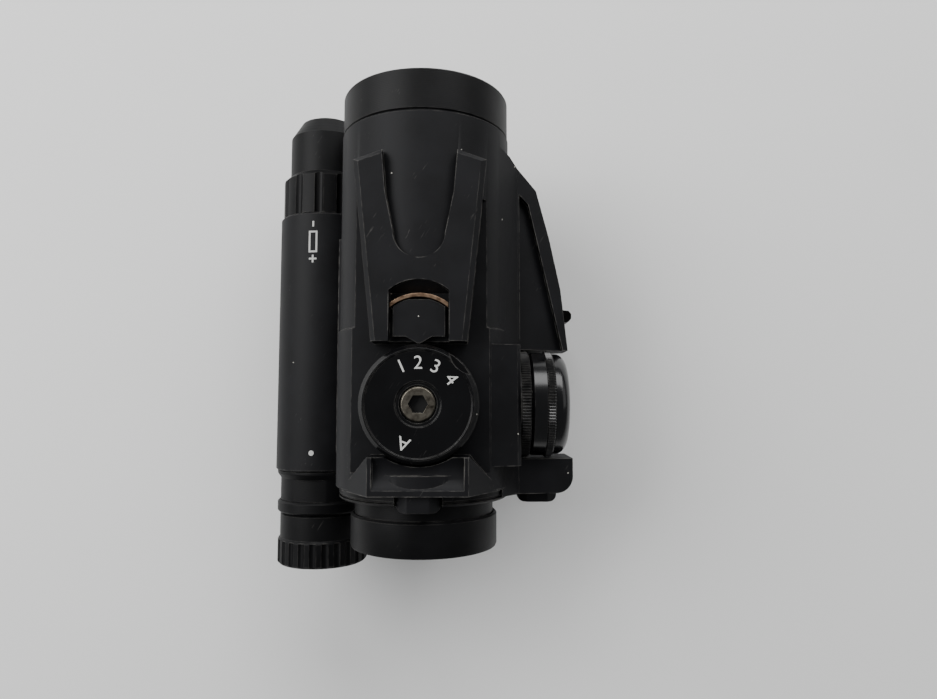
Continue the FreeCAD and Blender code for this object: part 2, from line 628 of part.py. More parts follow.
def rear_cover():
    """The rear flange and neck, screwed into the housing from behind."""
    flange_y = HOUSING_REAR_Y - REAR_FLANGE_LENGTH
    groove = HOUSING_REAR_Y - REAR_FLANGE_LENGTH * 0.62
    outline = [(REAR_APERTURE_R, HOUSING_REAR_Y + REAR_SPIGOT_LENGTH),
               (REAR_SPIGOT_R, HOUSING_REAR_Y + REAR_SPIGOT_LENGTH),
               (REAR_SPIGOT_R, HOUSING_REAR_Y + 1.9), (REAR_SPIGOT_R - 0.7, HOUSING_REAR_Y + 1.9),
               (REAR_SPIGOT_R - 0.7, HOUSING_REAR_Y + 0.9), (REAR_SPIGOT_R, HOUSING_REAR_Y + 0.9),
               (REAR_SPIGOT_R, HOUSING_REAR_Y), (REAR_FLANGE_R, HOUSING_REAR_Y),
               (REAR_FLANGE_R, groove + 0.35),
               (REAR_FLANGE_R - 0.6, groove + 0.2), (REAR_FLANGE_R - 0.6, groove - 0.2),
               (REAR_FLANGE_R, groove - 0.35),
               (REAR_FLANGE_R, flange_y + 0.4), (REAR_FLANGE_R - 0.4, flange_y), (NECK_R, flange_y),
               (NECK_R, NECK_END_Y),
               (EYEPIECE_THREAD_R, NECK_END_Y), (EYEPIECE_THREAD_R, THREAD_END_Y),
               (REAR_WINDOW_R + SEAT, THREAD_END_Y),
               (REAR_WINDOW_R + SEAT, REAR_WINDOW_FRONT_Y), (REAR_APERTURE_R, REAR_WINDOW_FRONT_Y)]
    cover = turned_y(outline)
    notch_low = AXIS + BUTTON_TOP_H - BUTTON_THICK - GAP
    notch = box(-BUTTON_HALF - GAP, BUTTON_HALF + GAP, flange_y - 0.01, HOUSING_REAR_Y + 1, notch_low,
                AXIS + REAR_FLANGE_R + 1)
    return cover.cut(notch)


def rear_o_ring():
    return ring_y(REAR_SPIGOT_R, REAR_SPIGOT_R - 0.65, HOUSING_REAR_Y + 1.0, HOUSING_REAR_Y + 1.8)


def rear_window():
    return rod_y(REAR_WINDOW_R, REAR_WINDOW_FRONT_Y - WINDOW_THICK, REAR_WINDOW_FRONT_Y)


def rear_window_retainer():
    front = REAR_WINDOW_FRONT_Y - WINDOW_THICK
    return ring_y(REAR_WINDOW_R, REAR_WINDOW_R - 1.4, front - 2.4, front)


def eyepiece_ring():
    """The eyepiece's outer ring, screwed over the neck's thread."""
    inner = EYEPIECE_THREAD_R + SEAT
    outline = [(REAR_WINDOW_R - 0.6, EYEPIECE_END_Y), (EYEPIECE_R - 0.7, EYEPIECE_END_Y),
               (EYEPIECE_R, EYEPIECE_END_Y + 0.7),
               (EYEPIECE_R, NECK_END_Y - CHAMFER), (EYEPIECE_R - CHAMFER, NECK_END_Y), (inner, NECK_END_Y),
               (inner, THREAD_END_Y - 0.1), (REAR_WINDOW_R - 0.6, THREAD_END_Y - 0.1)]
    return turned_y(outline)

# ---- Turrets ------------------------------------------------------------------


DIAL_LOW = BASE_RING_HEIGHT + 0.35
DIAL_TOP = DIAL_LOW + DIAL_HEIGHT
NUT_LOW = BASE_RING_HEIGHT + 0.1
NUT_TOP = DIAL_LOW + 1.7
WINDAGE_BARREL_LENGTH = 3.7
WINDAGE_RING_LENGTH = 2.1
WINDAGE_CAP_LENGTH = 4.0
WINDAGE_CAP_EDGE = 1.0   # straight stretch of the cap before its dome
WINDAGE_BASE = 2.7
WINDAGE_LOW = WINDAGE_BASE + 0.3
WINDAGE_RING_START = WINDAGE_LOW + WINDAGE_BARREL_LENGTH
WINDAGE_CAP_START = WINDAGE_RING_START + WINDAGE_RING_LENGTH


def on_deck(profile):
    """Turn a profile about the range dial's axis, measured up from the deck."""
    return turned(profile, point(0, DIAL_Y, AXIS + DECK_H), Z)


def on_flank(profile):
    """Turn a profile about the windage axis, measured out from the flank."""
    return turned(profile, point(FLANK_X, DIAL_Y, AXIS), X)


def elevation_base_ring():
    return on_deck(bushing(BASE_RING_R, TURRET_HOLE_R + 1.2, 0, BASE_RING_HEIGHT, 0.4))


def turret_seal(place):
    return place([(TURRET_HOLE_R, 0), (TURRET_HOLE_R + 1.15, 0), (TURRET_HOLE_R + 1.15, 1.4),
                  (TURRET_HOLE_R, 1.4)])


def elevation_dial():
    """The range dial: a flat cup with a raised rim, a thumb scallop and a screw well."""
    outline = [(SCREW_R + SEAT, NUT_TOP), (NUT_DISC_R + SEAT, NUT_TOP), (NUT_DISC_R + SEAT, DIAL_LOW),
               (DIAL_R - 0.4, DIAL_LOW),
               (DIAL_R, DIAL_LOW + 0.4), (DIAL_R, DIAL_TOP - 0.9), (DIAL_R - 0.9, DIAL_TOP),
               (DIAL_R - 1.3, DIAL_TOP),
               (DIAL_R - 1.5, DIAL_TOP - 0.25), (5.4, DIAL_TOP - 0.25), (5.2, DIAL_TOP - 0.6),
               (SCREW_HEAD_R + 0.3, DIAL_TOP - 0.6),
               (SCREW_HEAD_R + 0.3, NUT_TOP + 1.2), (SCREW_R + SEAT, NUT_TOP + 1.2)]
    dial = on_deck(outline)
    scallop_angle = math.radians(46)
    reach = DIAL_R + 4.6
    scallop = rod_z(6.2, AXIS + DECK_H + DIAL_TOP - 1.5, AXIS + DECK_H + DIAL_TOP + 1,
                    reach * math.sin(scallop_angle), DIAL_Y + reach * math.cos(scallop_angle))
    return dial.cut(scallop)


def elevation_screw():
    """The M5 socket screw that clamps the dial to its drive nut."""
    head_top = DIAL_TOP - 0.35
    head_low = NUT_TOP + 1.2
    outline = [(0, NUT_LOW + 0.4), (SCREW_R - 0.02, NUT_LOW + 0.4), (SCREW_R - 0.02, head_low),
               (SCREW_HEAD_R, head_low),
               (SCREW_HEAD_R, head_top - 0.3), (SCREW_HEAD_R - 0.3, head_top), (0, head_top)]
    corner_r = SCREW_HEX / 2 / math.cos(math.radians(30))
    hexagon = [(corner_r * math.cos(math.radians(60 * i)),
                DIAL_Y + corner_r * math.sin(math.radians(60 * i))) for i in range(6)]
    top = AXIS + DECK_H + head_top
    return on_deck(outline).cut(prism_z(hexagon, top - 2.2, top + 1))


def drive_nut(place, start, foot, low, top, screw_low):
    """A nut that turns with its turret: a disc on top, a barrel down to the inner tube."""
    pusher_hole = PUSHER_R + RUN
    depth = foot + BARREL_START
    inner = SCREW_R if screw_low < top else 0
    outline = [(pusher_hole, depth), (BARREL_R, depth), (BARREL_R, low), (NUT_DISC_R, low),
               (NUT_DISC_R, top),
               (inner, top), (inner, screw_low), (0, screw_low), (0, start), (pusher_hole, start)]
    tidy = [spot for i, spot in enumerate(outline) if i == 0 or spot != outline[i - 1]]
    return place(tidy)


def elevation_drive_nut():
    """Threaded above for the dial's screw and below for the pusher."""
    return drive_nut(on_deck, NUT_LOW - 1.6, -DECK_H, NUT_LOW, NUT_TOP, NUT_LOW + 0.3)


def windage_drive_nut():
    return drive_nut(on_flank, -1.0, -FLANK_X, WINDAGE_LOW, WINDAGE_LOW + 1.8, WINDAGE_LOW + 1.8)


def elevation_pusher():
    return rod_z(PUSHER_R, AXIS + PUSHER_START, AXIS + DECK_H + NUT_LOW - 2.2, 0, DIAL_Y)


def windage_pusher():
    return rod_x(PUSHER_R, PUSHER_START, FLANK_X - 1.6, DIAL_Y, AXIS)


def windage_base_ring():
    return on_flank(bushing(DIAL_R, TURRET_HOLE_R + 1.2, 0, WINDAGE_BASE, 0.3))


def windage_drum():
    """The windage turret's barrel and its grip ring, hollow for the nut's disc."""
    outline = [(NUT_DISC_R + SEAT, WINDAGE_LOW), (DIAL_R - 0.9, WINDAGE_LOW),
               (DIAL_R - 0.4, WINDAGE_LOW + 0.5),
               (DIAL_R - 0.4, WINDAGE_RING_START), (DIAL_R, WINDAGE_RING_START + 0.3),
               (DIAL_R, WINDAGE_CAP_START - 0.3),
               (DIAL_R - 0.4, WINDAGE_CAP_START), (NUT_DISC_R - 2, WINDAGE_CAP_START),
               (NUT_DISC_R - 2, WINDAGE_LOW + 1.8),
               (NUT_DISC_R + SEAT, WINDAGE_LOW + 1.8)]
    return on_flank(outline)


def windage_cap():
    """The domed cover, pushed into the drum."""
    rim = DIAL_R - 0.7
    crown = WINDAGE_CAP_START + WINDAGE_CAP_LENGTH
    plug = NUT_DISC_R - 2 - SEAT
    spots = [(0, WINDAGE_LOW + 2.2), (plug, WINDAGE_LOW + 2.2), (plug, WINDAGE_CAP_START),
             (rim, WINDAGE_CAP_START),
             (rim, WINDAGE_CAP_START + WINDAGE_CAP_EDGE)]
    round_r = 3.4
    centre_r = rim - round_r
    rise = WINDAGE_CAP_LENGTH - WINDAGE_CAP_EDGE - 0.2
    for step in range(1, 7):
        angle = math.radians(90 * step / 6)
        spots.append((centre_r + round_r * math.cos(angle), crown - 0.2 - rise * (1 - math.sin(angle))))
    spots.append((centre_r * 0.5, crown - 0.05))
    spots.append((0, crown))
    return on_flank(spots)

# ---- Dial lock buttons, index plate and click spring --------------------------


def button(length):
    """A lock button behind the housing: a roof-shaped head with round corners, on a stem."""
    top = AXIS + BUTTON_TOP_H
    low = top - BUTTON_THICK
    half = BUTTON_HALF
    rear = HOUSING_REAR_Y - length
    front = HOUSING_REAR_Y - 0.05
    head = box(-half, half, rear, front, low, top)
    corners = [edge for edge in head.Edges if abs(edge.Vertexes[0].Z - edge.Vertexes[1].Z) > 1
               and edge.Vertexes[0].Y < rear + 0.1]
    head = head.makeFillet(1.8, corners)
    roof = mirrored([(half + 1, low - 1), (half + 1, top - 2.8), (half - 2.6, top)])
    head = head.common(prism_y(roof, rear - 1, front + 1))
    stem = rod_y(STEM_R, front - 0.2, HOUSING_REAR_Y + STEM_LENGTH, 0, low + STEM_RISE)
    return head.fuse(stem)


def button_space():
    """The recess that the button is pushed into, and the hole for its stem."""
    low = AXIS + BUTTON_TOP_H - BUTTON_THICK
    recess = box(-BUTTON_HALF - RUN, BUTTON_HALF + RUN, HOUSING_REAR_Y - 1,
                 HOUSING_REAR_Y + BUTTON_TRAVEL + 0.1,
                 low - RUN, low + BUTTON_THICK + RUN)
    hole = rod_y(STEM_R + RUN, HOUSING_REAR_Y, HOUSING_REAR_Y + STEM_LENGTH + BUTTON_TRAVEL + 0.1, 0,
                 low + STEM_RISE)
    return recess.fuse(hole)


def windage_place(shape):
    """Move a copy of the dial's lock button to the windage turret's rear guard."""
    moved = shape.copy()
    middle = BUTTON_TOP_H - BUTTON_THICK / 2
    moved.translate(point(FLANK_X + BUTTON_HALF - 0.1, REAR_GUARD_REAR_Y - HOUSING_REAR_Y, -middle - 1.5))
    return moved


def index_plate():
    """The plate with the index tip that the dial's numbers are read against."""
    rear = SADDLE_REAR_Y
    half = POCKET_HALF - 0.9
    outline = mirrored([(0.35, rear - 0.5), (2.4, rear + 0.7), (3.2, rear + 1.1), (half, rear + 1.1),
                        (half, rear + 10)])
    plate = prism_z(outline, AXIS + POCKET_FLOOR_H, AXIS + POCKET_FLOOR_H + 1.9)
    return plate.common(rod_z(SPRING_R - SPRING_THICK / 2 - 0.25, AXIS, AXIS + 40, 0, rear))


def click_spring():
    """The bent bronze leaf that stands on edge ahead of the index plate."""
    rear = SADDLE_REAR_Y
    low = AXIS + POCKET_FLOOR_H
    leaf = rod_z(SPRING_R + SPRING_THICK / 2, low, low + 2.3, 0, rear)
    leaf = leaf.cut(rod_z(SPRING_R - SPRING_THICK / 2, low - 1, low + 4, 0, rear))
    return leaf.common(box(-POCKET_HALF + 0.15, POCKET_HALF - 0.15, rear + 3, rear + 14, low - 1, low + 5))

# ---- Battery tube and switch --------------------------------------------------


def battery_turned(profile):
    return turned_y(profile, BATTERY_X, BATTERY_Z)


def battery_tube():
    rear_thread = BATTERY_REAR_Y + SWITCH_PLUG_LENGTH + 0.3
    front_thread = BATTERY_FRONT_Y - CAP_PLUG_LENGTH - 0.3
    outline = [(END_THREAD_R, BATTERY_REAR_Y), (BATTERY_R - 0.4, BATTERY_REAR_Y),
               (BATTERY_R, BATTERY_REAR_Y + 0.4),
               (BATTERY_R, BATTERY_FRONT_Y - 0.4), (BATTERY_R - 0.4, BATTERY_FRONT_Y),
               (END_THREAD_R, BATTERY_FRONT_Y),
               (END_THREAD_R, front_thread), (BATTERY_BORE_R, front_thread), (BATTERY_BORE_R, rear_thread),
               (END_THREAD_R, rear_thread)]
    holes = [cradle_screw(y, 0.0) for y in CRADLE_SCREW_SPOTS] + [feed_pin_shape(SEAT)]
    return battery_turned(outline).cut(holes)


def battery_liner():
    """The insulating sleeve around the cell."""
    rear = BATTERY_REAR_Y + SWITCH_PLUG_LENGTH + 0.5
    front = BATTERY_FRONT_Y - CAP_PLUG_LENGTH - 0.5
    sleeve = ring_y(LINER_R, CELL_R + GAP, rear, front, BATTERY_X, BATTERY_Z)
    return sleeve.cut(feed_pin_shape(SEAT))


def battery_cell():
    body = bushing(CELL_R, 0, CELL_REAR_Y, CELL_FRONT_Y, 0.5)
    nub = rod_y(2.7, CELL_REAR_Y - CELL_NUB, CELL_REAR_Y + 0.5, BATTERY_X, BATTERY_Z)
    return battery_turned(body).fuse(nub)


CAP_START_Y = BATTERY_FRONT_Y + 0.2
CAP_WELL_R = CELL_R + GAP
CAP_FLOOR_Y = CAP_START_Y + 9.0


def grip_notches(count, radius, bite, y0, y1):
    """Round flutes cut into a grip, one behind the other around the battery axis."""
    flutes = []
    for i in range(count):
        angle = 2 * math.pi * i / count
        flutes.append(rod_y(bite, y0, y1, BATTERY_X + radius * math.sin(angle),
                            BATTERY_Z + radius * math.cos(angle)))
    return flutes


def battery_cap():
    """The screw cap: a threaded plug, a notched grip ring and a tapered nose."""
    shoulder = CAP_START_Y + CAP_RING_LENGTH
    nose = shoulder + CAP_NOSE_LENGTH
    plug_r = END_THREAD_R - RUN
    outline = [(CAP_WELL_R, CAP_START_Y - CAP_PLUG_LENGTH), (plug_r, CAP_START_Y - CAP_PLUG_LENGTH),
               (plug_r, CAP_START_Y - 1.6), (plug_r - 0.9, CAP_START_Y - 1.6),
               (plug_r - 0.9, CAP_START_Y - 0.3),
               (plug_r, CAP_START_Y - 0.3), (plug_r, CAP_START_Y), (CAP_RING_R, CAP_START_Y),
               (CAP_RING_R, shoulder - 1.6),
               (CAP_NOSE_R, shoulder), (CAP_NOSE_R, nose - 5.6), (CAP_NOSE_R - 3.0, nose - 0.6),
               (CAP_NOSE_R - 4.2, nose),
               (0, nose), (0, CAP_FLOOR_Y), (CAP_WELL_R, CAP_FLOOR_Y)]
    flutes = grip_notches(GRIP_NOTCHES, CAP_RING_R + 0.75, 1.5, CAP_START_Y - 1, shoulder + 1)
    return battery_turned(outline).cut(flutes)


def cap_o_ring():
    outer = END_THREAD_R - RUN
    return ring_y(outer + 0.02, outer - 0.86, CAP_START_Y - 1.45, CAP_START_Y - 0.45, BATTERY_X, BATTERY_Z)


def cap_spring():
    """The coil that presses on the cell's flat end."""
    height = CAP_FLOOR_Y - CELL_FRONT_Y - 0.9
    return coil(4.6, 0.36, height / 4, height, point(BATTERY_X, CELL_FRONT_Y + 0.5, BATTERY_Z), Y)


NECK_START_Y = BATTERY_REAR_Y - 2.3
BULGE_Y = NECK_START_Y - 6.2
BARREL_Y = BULGE_Y - 3.7
RIBS_Y = BARREL_Y - 6.8
KNOB_END_Y = RIBS_Y - 7.4
SHAFT_R = 3.0
FLAT_WIDTH = 8.9
FLAT_TILT = -7.6


def switch_housing():
    """The neck that closes the battery tube's rear end, with two wrench flats."""
    plug_r = END_THREAD_R - SEAT
    outline = [(SHAFT_R + RUN, BARREL_Y + 0.6), (SWITCH_NECK_R - 1.3, BARREL_Y + 0.6),
               (SWITCH_NECK_R - 1.3, BULGE_Y),
               (SWITCH_NECK_R, BULGE_Y), (SWITCH_NECK_R, NECK_START_Y),
               (BATTERY_R - 0.5, BATTERY_REAR_Y - 0.9), (BATTERY_R - 0.5, BATTERY_REAR_Y - 0.15),
               (plug_r, BATTERY_REAR_Y - 0.15),
               (plug_r, BATTERY_REAR_Y + SWITCH_PLUG_LENGTH),
               (plug_r - 1.5, BATTERY_REAR_Y + SWITCH_PLUG_LENGTH),
               (plug_r - 1.5, BATTERY_REAR_Y - 1.0), (SHAFT_R + RUN, BATTERY_REAR_Y - 1.0)]
    drop = math.sqrt(SWITCH_NECK_R ** 2 - (FLAT_WIDTH / 2) ** 2)
    upper = box(BATTERY_X - 10, BATTERY_X + 10, BULGE_Y, NECK_START_Y, BATTERY_Z + drop, BATTERY_Z + 20)
    lower = box(BATTERY_X - 10, BATTERY_X + 10, BULGE_Y, NECK_START_Y, BATTERY_Z - 20, BATTERY_Z - drop)
    flats = [around_y(flat, FLAT_TILT, BATTERY_X, BATTERY_Z) for flat in (upper, lower)]
    return battery_turned(outline).cut(flats)


def switch_ring():
    """The locking ring between the neck and the knob."""
    inner = SWITCH_NECK_R - 1.3 + SEAT
    return battery_turned(bushing(SWITCH_RING_R, inner, BARREL_Y + 0.3, BULGE_Y, 0.5))


def switch_knob():
    """The rotary brightness knob: a smooth barrel and a ribbed end."""
    outline = [(0, KNOB_END_Y + 4.2), (SWITCH_NECK_R - 2.6, KNOB_END_Y + 4.2),
               (SWITCH_NECK_R - 2.6, BARREL_Y),
               (SWITCH_NECK_R - 0.4, BARREL_Y), (SWITCH_NECK_R, BARREL_Y - 0.4), (SWITCH_NECK_R, RIBS_Y),
               (KNOB_R - 0.2, RIBS_Y - 0.4), (KNOB_R, RIBS_Y - 0.8), (KNOB_R, KNOB_END_Y + 0.6),
               (KNOB_R - 0.6, KNOB_END_Y),
               (9.4, KNOB_END_Y), (9.2, KNOB_END_Y + 0.5), (0, KNOB_END_Y + 0.5)]
    flutes = grip_notches(KNOB_RIBS, KNOB_R + 0.55, 1.1, KNOB_END_Y - 1, RIBS_Y - 0.6)
    return battery_turned(outline).cut(flutes)


def switch_shaft():
    return rod_y(SHAFT_R, KNOB_END_Y + 4.2, BATTERY_REAR_Y + 1.0, BATTERY_X, BATTERY_Z)


def switch_board():
    """The round circuit board in the switch housing's plug."""
    board_r = END_THREAD_R - SEAT - 1.6
    return rod_y(board_r, BATTERY_REAR_Y + 2.4, BATTERY_REAR_Y + 4.0, BATTERY_X, BATTERY_Z)


def rear_contact():
    """The brass contact between the board and the cell's nub."""
    board = BATTERY_REAR_Y + 4.0
    nub = CELL_REAR_Y - CELL_NUB
    plate = rod_y(4.5, board, board + 0.6, BATTERY_X, BATTERY_Z)
    post = rod_y(1.6, board + 0.5, nub - 0.02, BATTERY_X, BATTERY_Z)
    return plate.fuse(post)


def cradle_screws():
    return Part.makeCompound([cradle_screw(y, 0.0) for y in CRADLE_SCREW_SPOTS])


def feed_pin():
    """The contact pin that takes the current from the battery tube into the housing."""
    return feed_pin_shape(0.0)

# ---- Rail clamp ---------------------------------------------------------------


SEAT_HALF = 8.0
STEP_UP = 0.5


def mount_base():
    """The clamp's body: rail seat, fixed left jaw and the arm over the moving jaw."""
    lip = RAIL_HALF + 0.3 - RAIL_LIP
    wide = RAIL_HALF + 0.3
    outline = [(-BASE_HALF_WIDTH, BASE_HEIGHT), (BASE_HALF_WIDTH, BASE_HEIGHT), (BASE_HALF_WIDTH, STEP_UP),
               (SEAT_HALF + 1, STEP_UP), (SEAT_HALF + 1, 0), (-SEAT_HALF, 0), (-wide, RAIL_GROOVE_Z + 0.6),
               (-wide, RAIL_GROOVE_Z - 0.6), (-lip, RAIL_GROOVE_Z - 0.6 - RAIL_LIP),
               (-lip, RAIL_GROOVE_Z - 1.5 - RAIL_LIP),
               (-lip - 2, -JAW_DROP), (-BASE_HALF_WIDTH - 2.5, -JAW_DROP),
               (-BASE_HALF_WIDTH - 4, -JAW_DROP + 1.5),
               (-BASE_HALF_WIDTH - 4, BASE_HEIGHT - 7)]
    body = prism_y(outline, -BASE_HALF_LENGTH, BASE_HALF_LENGTH)
    arm_low = BASE_HEIGHT - 3.8
    arm = box(BASE_HALF_WIDTH - 4, LEVER_X, LEVER_Y - 7.5, LEVER_Y + 7.5, arm_low, BASE_HEIGHT)
    arm = arm.fuse(rod_z(7.5, arm_low, BASE_HEIGHT, LEVER_X, LEVER_Y))
    body = body.fuse(arm)
    cuts = [rod_z(LEVER_PIN_R - 0.5, arm_low - 1, BASE_HEIGHT + 1, LEVER_X, LEVER_Y)]
    cuts += [box(-RAIL_HALF - 1, BASE_HALF_WIDTH + 1, LUG_Y - LUG_WIDTH / 2 - SEAT,
                 LUG_Y + LUG_WIDTH / 2 + SEAT, -LUG_DEPTH, 4)]
    cuts += [rod_x(GUIDE_R, GUIDE_START_X, BASE_HALF_WIDTH + 1, y, GUIDE_Z) for y in GUIDE_SPOTS]
    for x in (-MOUNT_SCREW_X, MOUNT_SCREW_X):
        for y in MOUNT_SCREW_SPOTS:
            cuts.append(rod_z(MOUNT_SCREW_R + 0.1, -1, BASE_HEIGHT + 1, x, y))
            cuts.append(rod_z(MOUNT_HEAD_R + 0.1, -1, 4.6, x, y))
    return body.cut(cuts)


def mount_screws():
    """Four M4 socket screws from the rail side up into the housing's foot."""
    screws = []
    for x in (-MOUNT_SCREW_X, MOUNT_SCREW_X):
        for y in MOUNT_SCREW_SPOTS:
            head = rod_z(MOUNT_HEAD_R, 0.6, 4.6, x, y)
            shank = rod_z(MOUNT_SCREW_R - 0.02, 4.5, BASE_HEIGHT + 6.5, x, y)
            socket = rod_z(1.7, 0, 2.6, x, y)
            screws.append(head.fuse(shank).cut(socket))
    return Part.makeCompound(screws)


def recoil_lug():
    """The cross bar that drops into a slot of the rail."""
    half = LUG_WIDTH / 2
    return box(-SEAT_HALF + 0.5, SEAT_HALF, LUG_Y - half, LUG_Y + half, -LUG_DEPTH, 4)


GUIDE_R = 1.5
GUIDE_Z = 6.2
GUIDE_SPOTS = (-22.0, 10.0)
GUIDE_START_X = MOUNT_SCREW_X + MOUNT_SCREW_R + 0.8
JAW_HALF_LENGTH = 24.5


def clamp_jaw():
    """The moving right jaw, on two guide pins."""
    lip = RAIL_HALF + 0.3 - RAIL_LIP
    wide = RAIL_HALF + 0.3
    inner = BASE_HALF_WIDTH + GAP
    top = BASE_HEIGHT - 4.1
    outline = [(wide, STEP_UP - GAP), (wide, RAIL_GROOVE_Z - 0.6), (lip, RAIL_GROOVE_Z - 0.6 - RAIL_LIP),
               (lip, RAIL_GROOVE_Z - 1.5 - RAIL_LIP), (lip + 2, -JAW_DROP), (JAW_OUTER_X - 1.5, -JAW_DROP),
               (JAW_OUTER_X, -JAW_DROP + 1.5), (JAW_OUTER_X, top), (inner, top), (inner, STEP_UP - GAP)]
    jaw = prism_y(outline, -JAW_HALF_LENGTH, JAW_HALF_LENGTH)
    holes = [rod_x(GUIDE_R + RUN, 10, JAW_OUTER_X + 5, y, GUIDE_Z) for y in GUIDE_SPOTS]
    return jaw.cut(holes)


def jaw_guide_pins():
    return Part.makeCompound([rod_x(GUIDE_R, GUIDE_START_X, JAW_OUTER_X + JAW_TRAVEL + 0.5, y,
                                    GUIDE_Z) for y in GUIDE_SPOTS])


LEVER_LOW = -4.0
LEVER_TOP = BASE_HEIGHT - 3.8 - GAP


def lever_spot(angle, radius):
    turn = math.radians(angle)
    return point(LEVER_X + radius * math.cos(turn), LEVER_Y + radius * math.sin(turn), LEVER_LOW)


def cam():
    """The hub's outline: its radius falls evenly from the side that faces the jaw."""
    fall_end = 180 + LEVER_SWING + 15
    low_r = CAM_R - CAM_RATE * math.radians(LEVER_SWING + 15)
    falling = [lever_spot(180 + step * (LEVER_SWING + 15) / 10,
                          CAM_R - CAM_RATE * math.radians(step * (LEVER_SWING + 15) / 10))
               for step in range(11)]
    spiral = Part.BSplineCurve()
    spiral.interpolate(falling)
    round_side = Part.Arc(lever_spot(70, CAM_R), lever_spot(125, CAM_R), falling[0])
    back = Part.Arc(falling[-1], lever_spot((fall_end + 380) / 2, low_r), lever_spot(380, low_r))
    closing = Part.LineSegment(lever_spot(380, low_r), lever_spot(70, CAM_R))
    edges = [round_side.toShape(), spiral.toShape(), back.toShape(), closing.toShape()]
    return Part.Face(Part.Wire(edges)).extrude(Z * (LEVER_TOP - LEVER_LOW))


def clamp_lever():
    """The quick-release lever: a cam hub, an arm alongside the base and a turned-out tip."""
    plan = [(LEVER_X - 3, LEVER_Y + 4), (LEVER_X + 3.5, LEVER_Y - 2), (LEVER_X + 9, LEVER_Y + 9),
            (LEVER_X + 15.0, LEVER_Y + 22.6),
            (LEVER_X + 17.4, LEVER_Y + 23.3), (LEVER_X + 18.2, LEVER_Y + 24.3),
            (LEVER_X + 18.2, LEVER_Y + 25.7),
            (LEVER_X + 17.4, LEVER_Y + 26.7), (LEVER_X + 12.5, LEVER_Y + 27.2),
            (LEVER_X + 4, LEVER_Y + 12)]
    arm = prism_z(plan, LEVER_LOW + 3, LEVER_TOP - 1.5)
    body = cam().fuse(arm)
    return body.cut(rod_z(LEVER_PIN_R + RUN, LEVER_LOW - 1, LEVER_TOP + 1, LEVER_X, LEVER_Y))


def lever_pin():
    """The shoulder screw that the lever turns on, screwed up into the base's arm."""
    arm_low = BASE_HEIGHT - 3.8
    head = rod_z(4.4, LEVER_LOW - 2.6, LEVER_LOW - 0.1, LEVER_X, LEVER_Y)
    shoulder = rod_z(LEVER_PIN_R, LEVER_LOW - 0.2, arm_low, LEVER_X, LEVER_Y)
    thread = rod_z(LEVER_PIN_R - 0.52, arm_low - 0.1, BASE_HEIGHT - 0.2, LEVER_X, LEVER_Y)
    return head.fuse([shoulder, thread])

# ---- The sight ----------------------------------------------------------------


NODES = {
    "housing": housing,
    "front_ring": front_ring,
    "front_o_ring": front_o_ring,
    "front_window": front_window,
    "front_window_retainer": front_window_retainer,
    "inner_tube": inner_tube,
    "objective_front": objective_front,
    "objective_mirror": objective_mirror,
    "objective_retainer": objective_retainer,
    "gimbal_ring": gimbal_ring,
    "gimbal_yaw_pins": gimbal_yaw_pins,
    "gimbal_pitch_pins": gimbal_pitch_pins,
    "emitter_holder": emitter_holder,
    "emitter_board": emitter_board,
    "emitter": emitter,
    "return_spring": return_spring,
    "rear_cover": rear_cover,
    "rear_o_ring": rear_o_ring,
    "rear_window": rear_window,
    "rear_window_retainer": rear_window_retainer,
    "eyepiece_ring": eyepiece_ring,
    "elevation_base_ring": elevation_base_ring,
    "elevation_seal": lambda: turret_seal(on_deck),
    "elevation_dial": elevation_dial,
    "elevation_screw": elevation_screw,
    "elevation_drive_nut": elevation_drive_nut,
    "elevation_pusher": elevation_pusher,
    "windage_base_ring": windage_base_ring,
    "windage_seal": lambda: turret_seal(on_flank),
    "windage_drum": windage_drum,
    "windage_cap": windage_cap,
    "windage_drive_nut": windage_drive_nut,
    "windage_pusher": windage_pusher,
    "elevation_lock_button": lambda: button(BUTTON_LENGTH),
    "windage_lock_button": lambda: windage_place(button(FLANK_BUTTON_LENGTH)),
    "index_plate": index_plate,
    "click_spring": click_spring,
    "battery_tube": battery_tube,
    "battery_liner": battery_liner,
    "battery_cell": battery_cell,
    "battery_cap": battery_cap,
    "cap_o_ring": cap_o_ring,
    "cap_spring": cap_spring,
    "switch_housing": switch_housing,
    "switch_ring": switch_ring,
    "switch_knob": switch_knob,
    "switch_shaft": switch_shaft,
    "switch_board": switch_board,
    "rear_contact": rear_contact,
    "cradle_screws": cradle_screws,
    "feed_pin": feed_pin,
    "mount_base": mount_base,
    "mount_screws": mount_screws,
    "recoil_lug": recoil_lug,
    "clamp_jaw": clamp_jaw,
    "jaw_guide_pins": jaw_guide_pins,
    "clamp_lever": clamp_lever,
    "lever_pin": lever_pin,
}


def main():
    os.makedirs("parts", exist_ok=True)
    for name, build in NODES.items():
        shape = build()
        shape.exportStep("parts/" + name + ".step")
        print(name, len(shape.Solids), round(shape.Volume, 1), shape.isValid())


main()
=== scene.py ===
import json
import math

import bmesh
import bpy
from bpy.props import FloatProperty, FloatVectorProperty, IntProperty, PointerProperty
from bpy.types import Operator, Panel, PropertyGroup
from mathutils import Matrix, Vector


